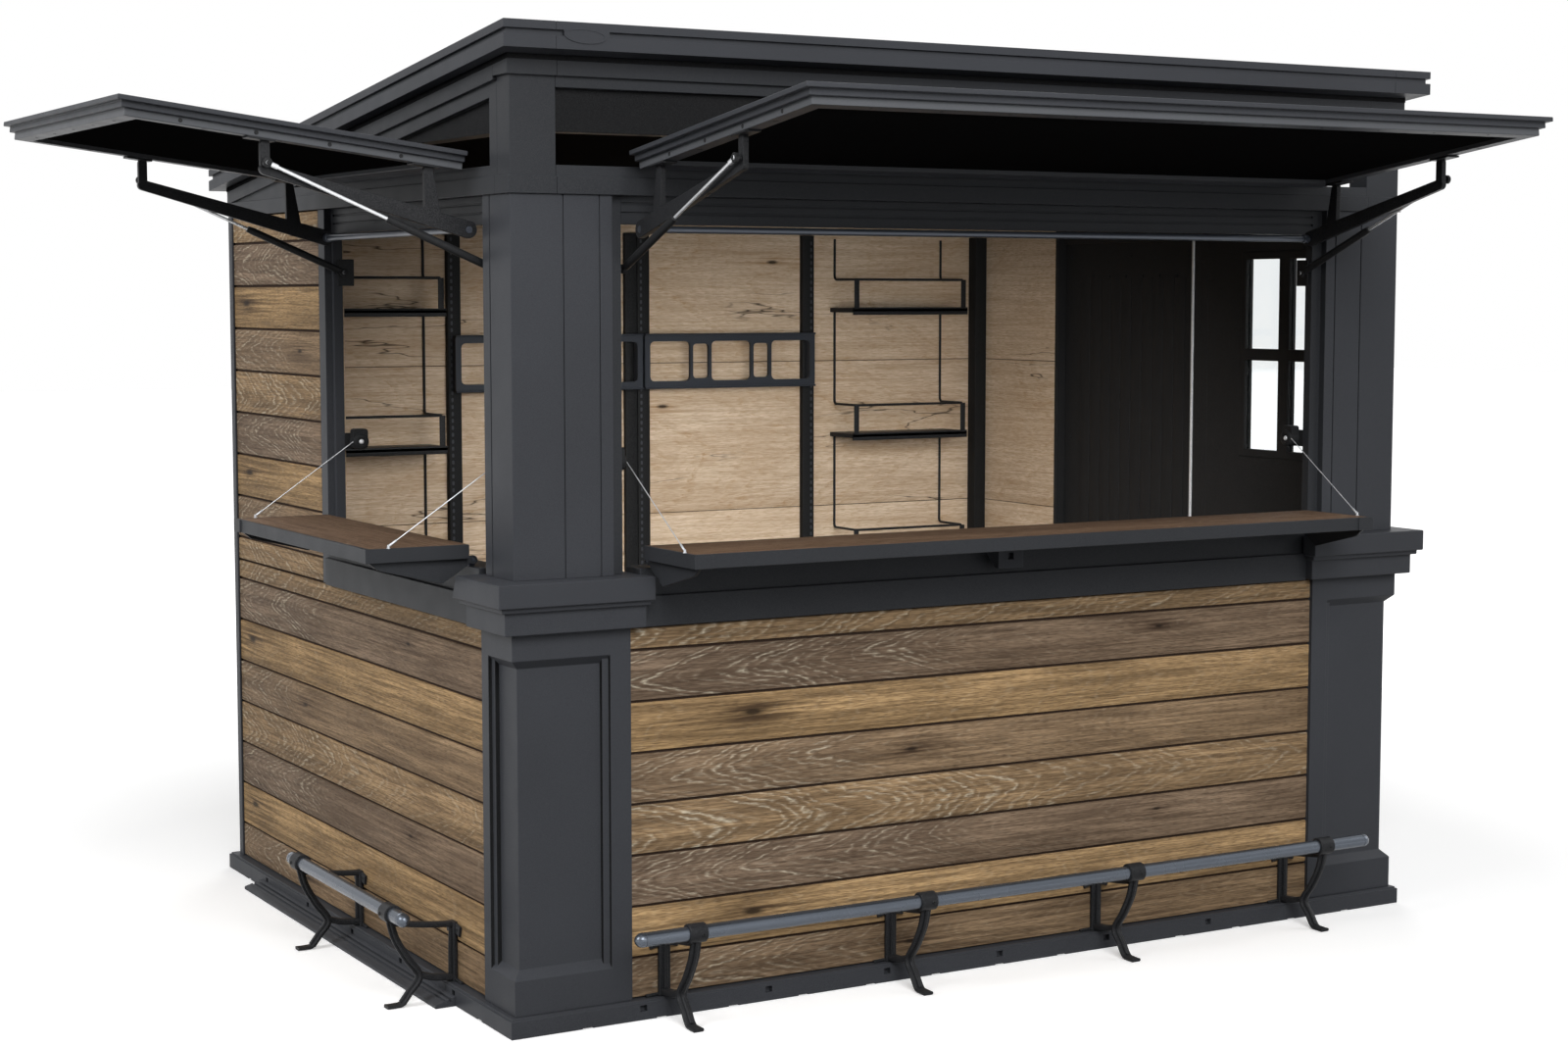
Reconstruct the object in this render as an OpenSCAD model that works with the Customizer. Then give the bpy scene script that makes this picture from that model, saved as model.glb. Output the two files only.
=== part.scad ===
// Street kiosk with two open serving hatches, fold-up counters and foot rails.
// All lengths are millimetres. X runs along the front, Y to the back, Z up.
// The origin is the centre of the underside of the base.

/* [Base] */
// Width of the base along the front
base_width = 2700; // [2400:10:3000]
// Depth of the base from front to back
base_depth = 2070; // [1800:10:2400]
// Height of the base skirt
skirt_height = 46; // [30:1:80]
// Step at the top edge of the skirt
skirt_step = 5; // [2:1:12]
// Width of one drain notch in the skirt
notch_width = 18; // [10:1:50]
// Height of one drain notch
notch_height = 15; // [5:1:20]
// Depth of one drain notch
notch_depth = 14; // [5:1:30]
// Width of one gap under the skirt
gap_width = 26; // [10:1:60]
// Height of one gap under the skirt
gap_height = 3; // [1:1:8]
// Gaps under the front skirt
front_gaps = 13; // [3:1:20]
// Gaps under each side skirt
side_gaps = 10; // [3:1:20]
// Drain notches along the front
front_notches = 7; // [3:1:12]
// Drain notches along each side
side_notches = 5; // [3:1:10]
// Reach of the ribbed ledge beside the left wall
ledge_reach = 52; // [20:1:90]
// Height of the ledge where it meets the skirt
ledge_height = 24; // [10:1:40]
// Height of the ledge at its outer edge
ledge_edge = 8; // [4:1:20]
// Start of the ledge behind the front of the base
ledge_start = 330; // [200:10:600]
// Distance of the ledge from the back of the base
ledge_back = 300; // [100:10:600]
// Width of one rib groove in the ledge
ledge_groove = 6; // [3:1:12]
// Rib grooves along the ledge
ledge_grooves = 3; // [1:1:5]

/* [Walls] */
// Setback of the siding from the edge of the base
siding_setback = 27; // [10:1:60]
// Thickness of a wall
wall_thickness = 70; // [40:1:100]
// Setback of the back wall from the edge of the base
back_setback = 43; // [10:1:60]
// Distance between two board joints
board_pitch = 121.4; // [80:0.1:180]
// Height of the board that the sill cuts short
first_board = 54.5; // [20:0.5:110]
// Depth of the groove at a board joint
joint_depth = 5; // [2:0.5:10]
// Half the width of the groove at a board joint
joint_half_width = 3.5; // [1:0.5:8]
// Height of the siding from the base to the sill
dado_height = 881; // [750:1:1000]
// Width of the trim at a back corner
corner_trim = 24; // [10:1:60]
// Thickness of the trim at a back corner
corner_trim_thickness = 6; // [2:1:12]

/* [Door and window] */
// Start of the door opening behind the front of the base
door_start = 746; // [600:1:900]
// Width of the jamb on the lock side
lock_jamb_width = 68; // [30:1:100]
// Width of the door leaf
door_width = 680; // [600:1:800]
// Gap around the door leaf
door_gap = 6; // [5:0.5:12]
// Width of the jamb on the hinge side
hinge_jamb_width = 14; // [8:1:60]
// Height of the wall over the door
door_head_height = 45; // [25:1:120]
// Thickness of the door leaf
door_thickness = 40; // [25:1:60]
// Gap between the door leaf and the floor
door_floor_gap = 10; // [5:1:25]
// Pitch of the planks on the door
door_plank_pitch = 85; // [50:1:150]
// Width of the border around the planks
door_border = 110; // [60:1:160]
// Diameter of a door hinge knuckle
hinge_diameter = 16; // [10:1:25]
// Height of a door hinge knuckle
hinge_height = 34; // [20:1:60]
// Diameter of a door hinge pin
door_pin = 8; // [5:1:12]
// Thickness of a door hinge plate
hinge_plate = 3; // [2:0.5:6]
// Width of a door hinge plate
hinge_plate_width = 46; // [30:1:80]
// Number of door hinges
hinge_count = 3; // [2:1:4]
// Reach of the door handle from the leaf
handle_reach = 46; // [30:1:70]
// Length of the door handle
handle_length = 120; // [80:1:160]
// Diameter of the door handle
handle_diameter = 18; // [12:1:30]
// Height of the door handle over the floor
handle_height = 954; // [850:1:1100]
// Size of the handle plate
handle_plate = 44; // [30:1:70]
// Thickness of the handle plate
handle_plate_thickness = 6; // [3:1:10]
// Distance of the window from the door opening
window_inset = 154; // [60:1:220]
// Width of the window
window_width = 376; // [250:1:380]
// Height of the window
window_height = 597; // [400:1:700]
// Distance of the window from the top of the wall
window_drop = 100; // [50:1:200]
// Width of the window frame
window_frame_width = 22; // [10:1:60]
// Width of the upright window bar
window_bar = 44; // [15:1:60]
// Height of the level window bar
window_cross_bar = 34; // [15:1:60]
// Thickness of the window frame beyond the wall on each side
window_frame_proud = 3; // [2:1:12]
// Thickness of the wall round the window
window_panel = 24; // [16:1:34]
// Margin of the recess round the window
window_margin = 45; // [20:1:48]
// Thickness of the window glass
glass_thickness = 5; // [3:0.5:10]

/* [Corner pillars] */
// Setback of a pedestal from the edge of the base
pedestal_setback = 17; // [5:1:40]
// Overhang of a pedestal past the column along the front
pedestal_front_margin = 37; // [10:1:42]
// Overhang of a pedestal past the column along the side
pedestal_side_margin = 8; // [4:1:12]
// Rise of a pedestal above the siding
pedestal_rise = 3; // [0:1:10]
// Height of the bottom rail of a pedestal
pedestal_bottom_rail = 84; // [40:1:120]
// Height of the top rail of a pedestal
pedestal_top_rail = 62; // [30:1:100]
// Width of the inner stile on the front of a pedestal
pedestal_front_stile = 54; // [30:1:90]
// Width of the inner stile on the side of a pedestal
pedestal_side_stile = 40; // [20:1:90]
// Depth of the first step of the sunk panel
panel_first_step = 9; // [4:1:20]
// Depth of the second step of the sunk panel
panel_second_step = 11; // [4:1:20]
// Width of the ledge between the two steps
panel_ledge = 17; // [6:1:30]
// Height of the lower band of a pillar cap
cap_band_height = 53; // [30:1:80]
// Reach of the lower band beyond the base
cap_band_reach = 12; // [0:1:30]
// Height of the fillet between band and slab
cap_fillet_height = 12; // [5:1:20]
// Reach of the fillet beyond the base
cap_fillet_reach = 24; // [5:1:40]
// Height of the slab of a pillar cap
cap_slab_height = 55; // [30:1:80]
// Reach of the slab beyond the base
cap_slab_reach = 36; // [20:1:60]
// Overhang of a cap past the jamb along the front
cap_front_margin = 44; // [20:1:60]
// Overhang of a cap past the jamb along the side
cap_side_margin = 39; // [30:1:60]
// Slope of the cap end on the side
cap_end_slope = 26; // [0:1:40]
// Width of a column along the front, from the edge of the base
column_front = 280; // [200:1:340]
// Width of a column along the side, from the edge of the base
column_side = 185; // [120:1:260]
// Depth of the rebate beside the opening
rebate_depth = 20; // [10:1:70]
// Reach of the jamb past the column into the opening
jamb_reach = 32; // [10:1:60]
// Thickness of a column with its jamb
column_thickness = 46; // [40:1:160]
// First seam on a column, from the edge of the base
seam_first = 156; // [100:1:200]
// Second seam on a column, from the edge of the base
seam_second = 247; // [200:1:270]
// Seam on the side of a column, from the edge of the base
seam_side = 145; // [80:1:170]
// Width of a seam
seam_width = 4; // [2:0.5:8]
// Depth of a seam
seam_depth = 4; // [2:0.5:8]
// Start of the post behind the left opening
post_start = 1240; // [1000:1:1500]
// Width of the post behind the left opening
post_width = 48; // [30:1:80]

/* [Sills] */
// Height of a sill
sill_height = 137; // [100:1:180]
// Height of the lower band of a sill
sill_band = 73; // [30:1:90]
// Setback of the lower sill band from the edge of the base
sill_lower_setback = 12; // [0:1:40]
// Setback of the upper sill band from the edge of the base
sill_upper_setback = 22; // [0:1:40]
// Width of the counter catch
catch_width = 76; // [40:1:120]
// Reach of the counter catch in front of the sill
catch_reach = 58; // [20:1:90]
// Height of the counter catch
catch_height = 62; // [30:1:90]
// Size of the slot in the counter catch
catch_slot = 16; // [8:1:30]

/* [Headers and roof] */
// Height of the architrave band
architrave_height = 40; // [20:1:80]
// Reach of the architrave band in front of the frieze
architrave_reach = 7; // [2:1:20]
// Height of the rail between architrave and frieze slot
frieze_rail = 25; // [10:1:50]
// Height of the open slot in the frieze
slot_height = 75; // [40:1:120]
// Margin between the sunk frieze panel and the crown band
frieze_margin = 25; // [10:1:50]
// Depth of the sunk frieze panel
frieze_depth = 16; // [5:1:40]
// Start of the frieze panel, from the edge of the base
frieze_start = 140; // [100:1:200]
// Depth of the roof under the frieze crown at which the side panel ends
frieze_crown = 78; // [40:1:120]
// Height of the crown band under the roof
crown_height = 46; // [20:1:80]
// Reach of the crown band in front of the frieze
crown_reach = 10; // [3:1:30]
// Height of a hatch from the sill to the lower header
hatch_height = 794; // [650:1:950]
// Height of the lower header
lower_header_height = 65; // [40:1:100]
// Thickness of the lower header
lower_header_thickness = 30; // [15:1:50]
// Height of a groove in the lower header
header_groove = 5; // [2:1:10]
// Height of the front header from the walls to the roof
header_height = 311; // [260:1:380]
// Fall of the roof from front to back
roof_fall = 240; // [100:1:400]
// Height of the roof edge
fascia_height = 61; // [40:1:100]
// Overhang of the roof at the front
roof_front_overhang = 44; // [10:1:120]
// Overhang of the roof at each side
roof_side_overhang = 17; // [5:1:120]
// Overhang of the roof at the back
roof_back_overhang = 20; // [5:1:120]
// Height of the lip at the top of the roof edge
roof_lip = 19; // [8:1:40]
// Height of the groove in the roof edge
roof_groove = 13; // [5:1:30]
// Depth of the groove in the roof edge
roof_groove_depth = 9; // [3:1:25]
// Thickness of the roof deck
roof_deck = 22; // [10:1:40]
// Height of one rib on the roof deck
roof_rib_height = 6; // [2:1:20]
// Width of one rib on the roof deck
roof_rib_width = 40; // [15:1:80]
// Ribs on the roof deck
roof_ribs = 6; // [2:1:12]
// Distance of a seam in the roof edge from the edge of the base
fascia_seam = 110; // [60:1:125]
// Start of the bare plate on the roof edge
plate_start = 130; // [80:1:200]
// Width of the bare plate on the roof edge
plate_width = 112; // [60:1:160]

/* [Hatch flaps] */
// Length of a flap from its inner to its outer edge
flap_length = 806; // [700:1:900]
// Tilt of an open flap above level
flap_tilt = 7.1; // [0:0.1:20]
// Rise of the inner edge of an open flap above the walls
flap_rise = 100; // [70:1:130]
// Setback of the inner edge of an open flap
flap_inner_setback = 0; // [-40:1:60]
// Overlap of a flap past the jamb on each side
flap_overlap = 2; // [-20:1:30]
// Thickness of the outer lip of a flap
flap_lip = 11; // [6:1:20]
// Thickness of the middle step of a flap
flap_middle = 14; // [6:1:25]
// Thickness of the inner step of a flap
flap_inner = 17; // [6:1:25]
// Setback of the middle step from the lip
flap_middle_setback = 13; // [5:1:30]
// Setback of the inner step from the lip
flap_inner_step_setback = 24; // [10:1:50]
// Width of the frame round the sunk underside
flap_frame = 62; // [30:1:100]
// Depth of the sunk underside
flap_sunk = 12; // [4:1:18]
// Gap between an arm and a strut
strut_clearance = 3.5; // [2:0.5:10]
// Thickness of a flap arm
arm_thickness = 14; // [8:1:25]
// Width of the arm at the hub
arm_hub_width = 40; // [20:1:60]
// Width of the arm at the knee
arm_knee_width = 26; // [15:1:50]
// Setback of the hub from the edge of the base
hub_setback = 14; // [0:1:40]
// Drop of the hub under the lower header
hub_drop = 12; // [4:1:40]
// Reach of the knee in front of the edge of the base
knee_reach = 468; // [400:1:560]
// Drop of the knee under the flap
knee_drop = 48; // [30:1:80]
// Reach of the inner foot in front of the edge of the base
inner_foot_reach = 84; // [50:1:140]
// Width of a foot of the arm
foot_width = 22; // [10:1:40]
// Length of a foot pad
foot_pad_length = 64; // [40:1:100]
// Width of a foot pad
foot_pad_width = 40; // [20:1:60]
// Thickness of a foot pad
foot_pad_thickness = 5; // [3:1:10]
// Diameter of the bar between two hubs
bar_diameter = 17; // [10:1:25]
// Gap between a strut and its bracket plate
strut_bracket_gap = 2.5; // [1:0.5:8]
// Setback of the lower strut pivot
strut_low_setback = 70; // [40:1:100]
// Drop of the lower strut pivot under the lower header
strut_drop = 102; // [60:1:150]
// Diameter of a strut cylinder
strut_diameter = 19; // [12:1:30]
// Length of a strut cylinder
strut_cylinder_length = 283; // [200:1:320]
// Diameter of a strut rod
rod_diameter = 8; // [5:1:14]
// Diameter of a strut eye
strut_eye = 22; // [14:1:30]
// Diameter of a strut stud
stud_diameter = 9; // [6:1:14]
// Height of a strut bracket
strut_bracket_height = 70; // [40:1:100]
// Depth of a strut bracket
strut_bracket_depth = 44; // [20:1:60]
// Thickness of a strut bracket
strut_bracket_thickness = 5; // [3:1:10]

/* [Counters] */
// Gap between a sill and the counter over it
counter_gap = 21; // [16:1:30]
// Thickness of the counter edge
counter_edge = 33; // [20:1:60]
// Reach of a counter in front of the edge of the base
counter_reach = 243; // [180:1:320]
// Setback of the inner edge of a counter
counter_inner_setback = 8; // [0:1:16]
// Gap between a counter end and the jamb
counter_end_gap = 34; // [20:1:60]
// Thickness of a counter board
counter_board = 16; // [10:1:25]
// Width of the rim beside a counter board
counter_rim = 9; // [4:1:30]
// Length of a corner block
corner_block = 48; // [20:1:80]
// Projection of a corner block
corner_block_proud = 4; // [1:1:10]
// Setback of the counter hinge
counter_hinge_setback = 26; // [20:1:40]
// Rise of the counter hinge above the sill
counter_hinge_rise = 16; // [15:1:24]
// Diameter of the counter hinge pin
hinge_pin = 9; // [6:1:14]
// Clearance round a pin
pin_clearance = 1; // [0.5:0.1:3]
// Diameter of the counter hinge eye
hinge_eye = 20; // [15:1:30]
// Thickness of a gusset under a counter end
gusset_thickness = 8; // [4:1:14]
// Setback of a gusset from the counter end
gusset_setback = 18; // [0:1:40]
// Gap between a gusset and the pillar cap beside it
gusset_clearance = 8; // [5:1:20]
// Drop of a gusset under the counter edge
gusset_drop = 58; // [30:1:80]
// Width of a hinge lug beside a gusset
lug_width = 14; // [6:1:20]
// Depth of a hinge lug
lug_depth = 15; // [10:1:20]
// Gap between a hinge lug and a gusset
lug_gap = 6; // [5:1:10]
// Diameter of a counter cable
cable_diameter = 3; // [2:0.5:6]
// Rise of the upper end of a cable above the counter
cable_rise = 190; // [150:1:260]
// Setback of the upper end of a cable
cable_top_setback = 84; // [50:1:130]
// Reach of the lower end of a cable
cable_low_reach = 190; // [140:1:230]
// Distance of a cable from the jamb
cable_inset = 30; // [15:1:40]
// Diameter of a cable reel
reel_diameter = 44; // [25:1:70]
// Height of the anchor stud of a cable
anchor_height = 9; // [4:1:20]

/* [Foot rails] */
// Reach of a foot rail in front of the edge of the base
rail_reach = 140; // [100:1:180]
// Height of a foot rail
rail_height = 231; // [150:1:280]
// Diameter of a foot rail
rail_diameter = 34; // [25:1:50]
// Overhang of the front rail past the pedestal
front_rail_overhang = 55; // [0:1:120]
// Distance of the first front bracket from the pedestal
front_bracket_margin = 85; // [60:1:200]
// Brackets of the front rail
front_brackets = 4; // [2:1:6]
// Distance of the first left bracket from the pedestal
left_bracket_margin = 199; // [60:1:300]
// Length of the left rail in front of its first bracket
left_rail_front_tail = 86; // [40:1:160]
// Length of the left rail behind its last bracket
left_rail_back_tail = 58; // [40:1:160]
// End of the left rail behind the front of the base
left_rail_end = 1086; // [900:1:1300]
// Thickness of a rail bracket
bracket_thickness = 26; // [8:1:40]
// Width of a bracket leg
bracket_leg = 15; // [8:1:30]
// Thickness of a clamp ring
clamp_wall = 6; // [4:1:14]
// Width of a clamp ring
clamp_width = 46; // [15:1:60]
// Reach of the waist of a bracket
bracket_waist_reach = 68; // [40:1:90]
// Height of the waist of a bracket
bracket_waist_height = 70; // [56:1:100]
// Reach of the heel of a bracket
bracket_heel_reach = 108; // [80:1:160]
// Length of the toe of a bracket
bracket_toe = 46; // [25:1:80]
// Width of the toe of a bracket
bracket_toe_width = 34; // [20:1:60]
// Thickness of the toe of a bracket
bracket_toe_thickness = 8; // [4:1:12]
// Height of the top arm of a bracket at the wall
bracket_arm_height = 186; // [150:1:220]
// Depth of the wall post of a bracket
bracket_post_depth = 14; // [8:1:20]
// Width of the wall post of a bracket
bracket_post_width = 30; // [16:1:50]
// Width of the flange at the top of the wall post
bracket_flange_width = 78; // [40:1:100]
// Height of the flange at the top of the wall post
bracket_flange_height = 36; // [20:1:60]
// Thickness of the flange at the top of the wall post
bracket_flange_thickness = 6; // [3:1:12]

/* [Fittings inside] */
// Width of a shelf upright
upright_width = 42; // [20:1:60]
// Depth of a shelf upright
upright_depth = 22; // [10:1:40]
// Distance of the shelf uprights from the top of the wall
upright_drop = 33; // [10:1:80]
// Width of the post in the inner corner
inner_post = 44; // [15:1:60]
// Diameter of a shelf wire
wire_diameter = 8; // [5:1:14]
// Depth of a wire shelf
shelf_depth = 147; // [100:1:180]
// Thickness of a wire shelf
shelf_thickness = 14; // [8:1:25]
// Height of the lowest shelf over the floor
shelf_floor_gap = 784; // [600:1:900]
// Shelves of a unit
shelf_count = 3; // [1:1:4]
// Distance between two shelves
shelf_pitch = 406; // [300:1:500]
// Height of the guard wire over a shelf
guard_height = 92; // [50:1:140]
// Distance of the shelf wires from the top of the wall
wire_drop = 43; // [10:1:90]
// Setback of a wire from the shelf end
wire_inset = 15; // [8:1:40]
// Width of the strap between a shelf and its guard wire
strap_width = 14; // [8:1:25]
// Thickness of the strap between a shelf and its guard wire
strap_thickness = 4; // [2:1:8]
// Gap between the left shelf unit and the left wall
left_shelf_gap = 67; // [20:1:100]
// Gap between the left shelf unit and the first upright
left_shelf_upright_gap = 56; // [10:1:90]
// Gap between the right shelf unit and the last upright
right_shelf_upright_gap = 74; // [10:1:100]
// Gap between the right shelf unit and the inner post
right_shelf_gap = 101; // [10:1:140]
// Rise of the glass rack above the sill
rack_rise = 340; // [250:1:420]
// Height of the glass rack
rack_height = 173; // [120:1:220]
// Height of a rail of the glass rack
rack_rail = 24; // [12:1:40]
// Depth of the glass rack
rack_depth = 30; // [15:1:60]
// Width of a divider of the glass rack
rack_divider = 76; // [40:1:90]
// Slot in a divider of the glass rack
rack_slot = 52; // [20:1:60]
// Margin over and under a slot of the glass rack
rack_slot_margin = 10; // [4:1:20]

/* [Hidden] */
$fn = 32;
joint_clear = 0.4;
seat_gap = 0.3;
bay_shares = [0.36, 0.69];
gusset_shares = [0.22, 0.86];
bow_shares = [[0.07, 0.34], [0.57, 0.74]];
upright_shares = [0.253, 0.489, 0.711];
rack_shares = [0.313, 0.678];
slope = roof_fall / (base_depth + roof_front_overhang + roof_back_overhang);
siding_top = skirt_height + dado_height;
board_joint_height = siding_top - first_board;
pedestal_top = siding_top + pedestal_rise;
sill_top = siding_top + sill_height;
sill_step = siding_top + sill_band;
counter_bottom = sill_top + counter_gap;
counter_top_height = counter_bottom + counter_edge;
counter_hinge_height = sill_top + counter_hinge_rise;
lower_header_bottom = sill_top + hatch_height;
wall_top = lower_header_bottom + lower_header_height;
roof_front_height = wall_top + header_height + fascia_height + slope * roof_front_overhang;
inner_left = siding_setback + wall_thickness;
inner_right = base_width - siding_setback - wall_thickness;
inner_back = base_depth - back_setback - wall_thickness;
outer_back = base_depth - back_setback;
ledge_end = base_depth - ledge_back;
door_head = wall_top - door_head_height;
door_top = door_head - door_gap;
door_leaf_start = door_start + lock_jamb_width + door_gap;
door_leaf_end = door_leaf_start + door_width;
door_end = door_leaf_end + door_gap + hinge_jamb_width;
door_axis = [base_width - siding_setback + hinge_diameter / 2 + pin_clearance,
             door_leaf_end + door_gap / 2];
door_low = skirt_height + door_floor_gap;
hinge_levels = [for (index = [1:hinge_count])
    door_low + (door_top - door_low) * (index - 1 / 2) / hinge_count - hinge_height / 2];
window_end = door_start - window_inset;
window_start = window_end - window_width;
window_top = wall_top - window_drop;
window_bottom = window_top - window_height;
front_opening = [column_front + jamb_reach, base_width - column_front - jamb_reach];
left_opening = [column_side + jamb_reach / 2, post_start - jamb_reach / 3];
pedestal_front = column_front + pedestal_front_margin;
pedestal_side = column_side + pedestal_side_margin;
cap_front = front_opening[0] + cap_front_margin;
cap_side = left_opening[0] + cap_side_margin;
sill_front = cap_front - cap_fillet_height;
sill_side = cap_side - cap_end_slope;
cap_top = pedestal_top + cap_band_height + cap_fillet_height + cap_slab_height;
slot_bottom = wall_top + architrave_height + frieze_rail;
slot_top = slot_bottom + slot_height;
flap_inner_height = wall_top + flap_rise;
flap_thickness = flap_lip + flap_middle + flap_inner;
hub_height = lower_header_bottom - hub_drop;
knee_height = flap_under(knee_reach)[1] - knee_drop;
strut_inset = strut_bracket_thickness + strut_bracket_gap + strut_diameter / 2;
arm_inset = strut_inset + strut_diameter / 2 + strut_clearance + arm_thickness / 2;
pivot_low = [strut_low_setback, lower_header_bottom - strut_drop];
pivot_high = [-knee_reach, knee_height];
strut_length = norm(pivot_high - pivot_low);
strut_angle = atan2(pivot_high[1] - pivot_low[1], pivot_high[0] - pivot_low[0]);
cable_low = [-cable_low_reach, counter_top_height + anchor_height / 2];
cable_high = [cable_top_setback, counter_top_height + cable_rise];
front_rail_start = pedestal_front - front_rail_overhang;
front_bracket_start = pedestal_front + front_bracket_margin;
front_bracket_pitch = (base_width - front_bracket_start * 2) / (front_brackets - 1);
left_bracket_start = pedestal_side + left_bracket_margin;
upright_places = [for (share = upright_shares) base_width * share];
shelf_levels = [for (index = [0:shelf_count - 1])
    skirt_height + shelf_floor_gap + index * shelf_pitch];
rack_bottom = sill_top + rack_rise;
rack_top = rack_bottom + rack_height;
resin = [0.16, 0.17, 0.18];
resin_light = [0.24, 0.25, 0.27];
timber = [0.48, 0.38, 0.28];
steel = [0.6, 0.62, 0.65];
glass = [0.8, 0.88, 0.9, 0.4];

// Sub-part to build, or all of them

// Moves a shape drawn from the front left corner of the base to the shared frame.
module placed() {
    translate([-base_width / 2, -base_depth / 2, 0]) children();
}

// Turns a shape drawn for the front wall to the left wall.
module on_left() {
    multmatrix([[0, 1, 0, 0], [1, 0, 0, 0], [0, 0, 1, 0], [0, 0, 0, 1]]) children();
}

// Repeats a left-hand shape on the right-hand side of the base.
module on_right() {
    translate([base_width, 0, 0]) mirror([1, 0, 0]) children();
}

// Box between two opposite corners.
module block(low, high) {
    translate(low) cube(high - low);
}

// Profile in depth and height, drawn out along the front wall.
module run(start, end) {
    translate([start, 0, 0]) rotate([90, 0, 90]) linear_extrude(end - start) children();
}

// Flat bar with round ends between two points of a profile.
module link(from, to, width_from, width_to) {
    heading = atan2(to[1] - from[1], to[0] - from[0]);
    across = [-sin(heading), cos(heading)];
    polygon([from + across * width_from / 2, from - across * width_from / 2,
             to - across * width_to / 2, to + across * width_to / 2]);
    translate(from) circle(d = width_from);
    translate(to) circle(d = width_to);
}

// Round bar between two points.
module rod_between(from, to, diameter) {
    way = to - from;
    flat = norm([way[0], way[1]]);
    translate(from) rotate([0, atan2(flat, way[2]), atan2(way[1], way[0])])
        cylinder(d = diameter, h = norm(way));
}

// Height of a header under the roof at a depth behind the front of the base.
function roof_under(depth) =
    roof_front_height - fascia_height - slope * (depth + roof_front_overhang) - seat_gap;

// Heights of the board joints between two levels.
function joints(low, high) =
    [for (index = [-10:10])
        let (level = board_joint_height + index * board_pitch)
        if (level > low + joint_half_width && level < high - joint_half_width) level];

// Wall section with a groove at every board joint on its outer face.
module siding_profile(low, high) {
    outer = siding_setback;
    levels = joints(low, high);
    polygon(concat(
        [[outer + wall_thickness, high], [outer + wall_thickness, low], [outer, low]],
        [for (level = levels, part = [-1:1])
            [outer + (part == 0 ? joint_depth : 0), level + part * joint_half_width]],
        [[outer, high]]));
}

// Base plate with stepped skirt and drain notches.
module base_floor() color(resin) placed() difference() {
    union() {
        block([0, 0, 0], [base_width, base_depth, skirt_height - skirt_step]);
        block([skirt_step, skirt_step, skirt_height - skirt_step],
              [base_width - skirt_step, base_depth - skirt_step, skirt_height]);
    }
    for (index = [1:front_notches])
        translate([base_width * index / (front_notches + 1), 0, skirt_height * 3 / 5])
            cube([notch_width, notch_depth * 2, notch_height], center = true);
    for (index = [1:front_gaps], edge = [0, base_depth])
        translate([base_width * index / (front_gaps + 1), edge, 0])
            cube([gap_width, notch_depth, gap_height * 2], center = true);
    for (index = [1:side_gaps], edge = [0, base_width])
        translate([edge, base_depth * index / (side_gaps + 1), 0])
            cube([notch_depth, gap_width, gap_height * 2], center = true);
    for (index = [1:side_notches], edge = [0, base_width])
        translate([edge, base_depth * index / (side_notches + 1), skirt_height * 3 / 5])
            cube([notch_depth * 2, notch_width, notch_height], center = true);
}

// Ribbed ramp beside the left skirt.
module left_ledge() color(resin) placed() on_left() difference() {
    run(ledge_start, ledge_end)
        polygon([[0, 0], [0, ledge_height], [-ledge_reach, ledge_edge], [-ledge_reach, 0]]);
    for (index = [1:ledge_grooves])
        translate([0, -ledge_reach * index / (ledge_grooves + 1), ledge_height])
            cube([ledge_end * 2, ledge_groove, ledge_height], center = true);
}

// Boarded wall under the front counter.
module front_siding() color(timber) placed()
    run(pedestal_front, base_width - pedestal_front) siding_profile(skirt_height, siding_top);

// Boarded wall under the left counter, as far as the back corner.
module left_siding() color(timber) placed() on_left()
    run(pedestal_side, outer_back) siding_profile(skirt_height, siding_top);

// Boarded wall behind the left opening.
module left_rear_siding() color(timber) placed() on_left()
    run(post_start + post_width, outer_back) siding_profile(siding_top, wall_top);

// Boarded back wall between the side walls.
module back_wall() color(timber) placed()
    translate([0, base_depth, 0]) mirror([0, 1, 0])
        translate([0, back_setback - siding_setback, 0])
            run(inner_left, inner_right) siding_profile(skirt_height, wall_top);

// Boarded right wall behind the door.
module right_rear_wall() color(timber) placed() on_right() on_left()
    run(door_end, outer_back) siding_profile(skirt_height, wall_top);

// Right wall in front of the door, with the window cut through a recess.
module right_front_wall() color(resin) placed() difference() {
    union() {
        block([inner_right, sill_side, skirt_height],
              [base_width - siding_setback, door_start, wall_top]);
        block([inner_right, pedestal_side, skirt_height],
              [base_width - siding_setback, sill_side, pedestal_top]);
        block([inner_right, left_opening[0], cap_top],
              [base_width - siding_setback, sill_side, wall_top]);
    }
    block([inner_right - wall_thickness, window_start, window_bottom],
          [base_width, window_end, window_top]);
    block([inner_right + window_panel, window_start, window_bottom - window_margin],
          [base_width, window_end + window_margin, window_top + window_margin]);
}

// Right wall over the door.
module right_over_door() color(resin) placed()
    block([inner_right, door_start, door_head], [base_width - siding_setback, door_end, wall_top]);

// Upright trims over the two back corners.
module back_corner_trims() color(resin) placed() for (side = [0:1])
    translate([side * base_width, 0, skirt_height]) mirror([side, 0, 0])
        linear_extrude(wall_top - skirt_height)
            translate([siding_setback, 0]) polygon([
                [-corner_trim_thickness, outer_back - corner_trim],
                [0, outer_back - corner_trim], [0, outer_back], [corner_trim, outer_back],
                [corner_trim, outer_back + corner_trim_thickness],
                [-corner_trim_thickness, outer_back + corner_trim_thickness]]);

// Two jambs of the door opening.
module door_frame() color(resin) placed() {
    block([inner_right, door_start, skirt_height],
          [base_width - siding_setback, door_start + lock_jamb_width, door_head]);
    block([inner_right, door_end - hinge_jamb_width, skirt_height],
          [base_width - siding_setback, door_end, door_head]);
}

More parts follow.
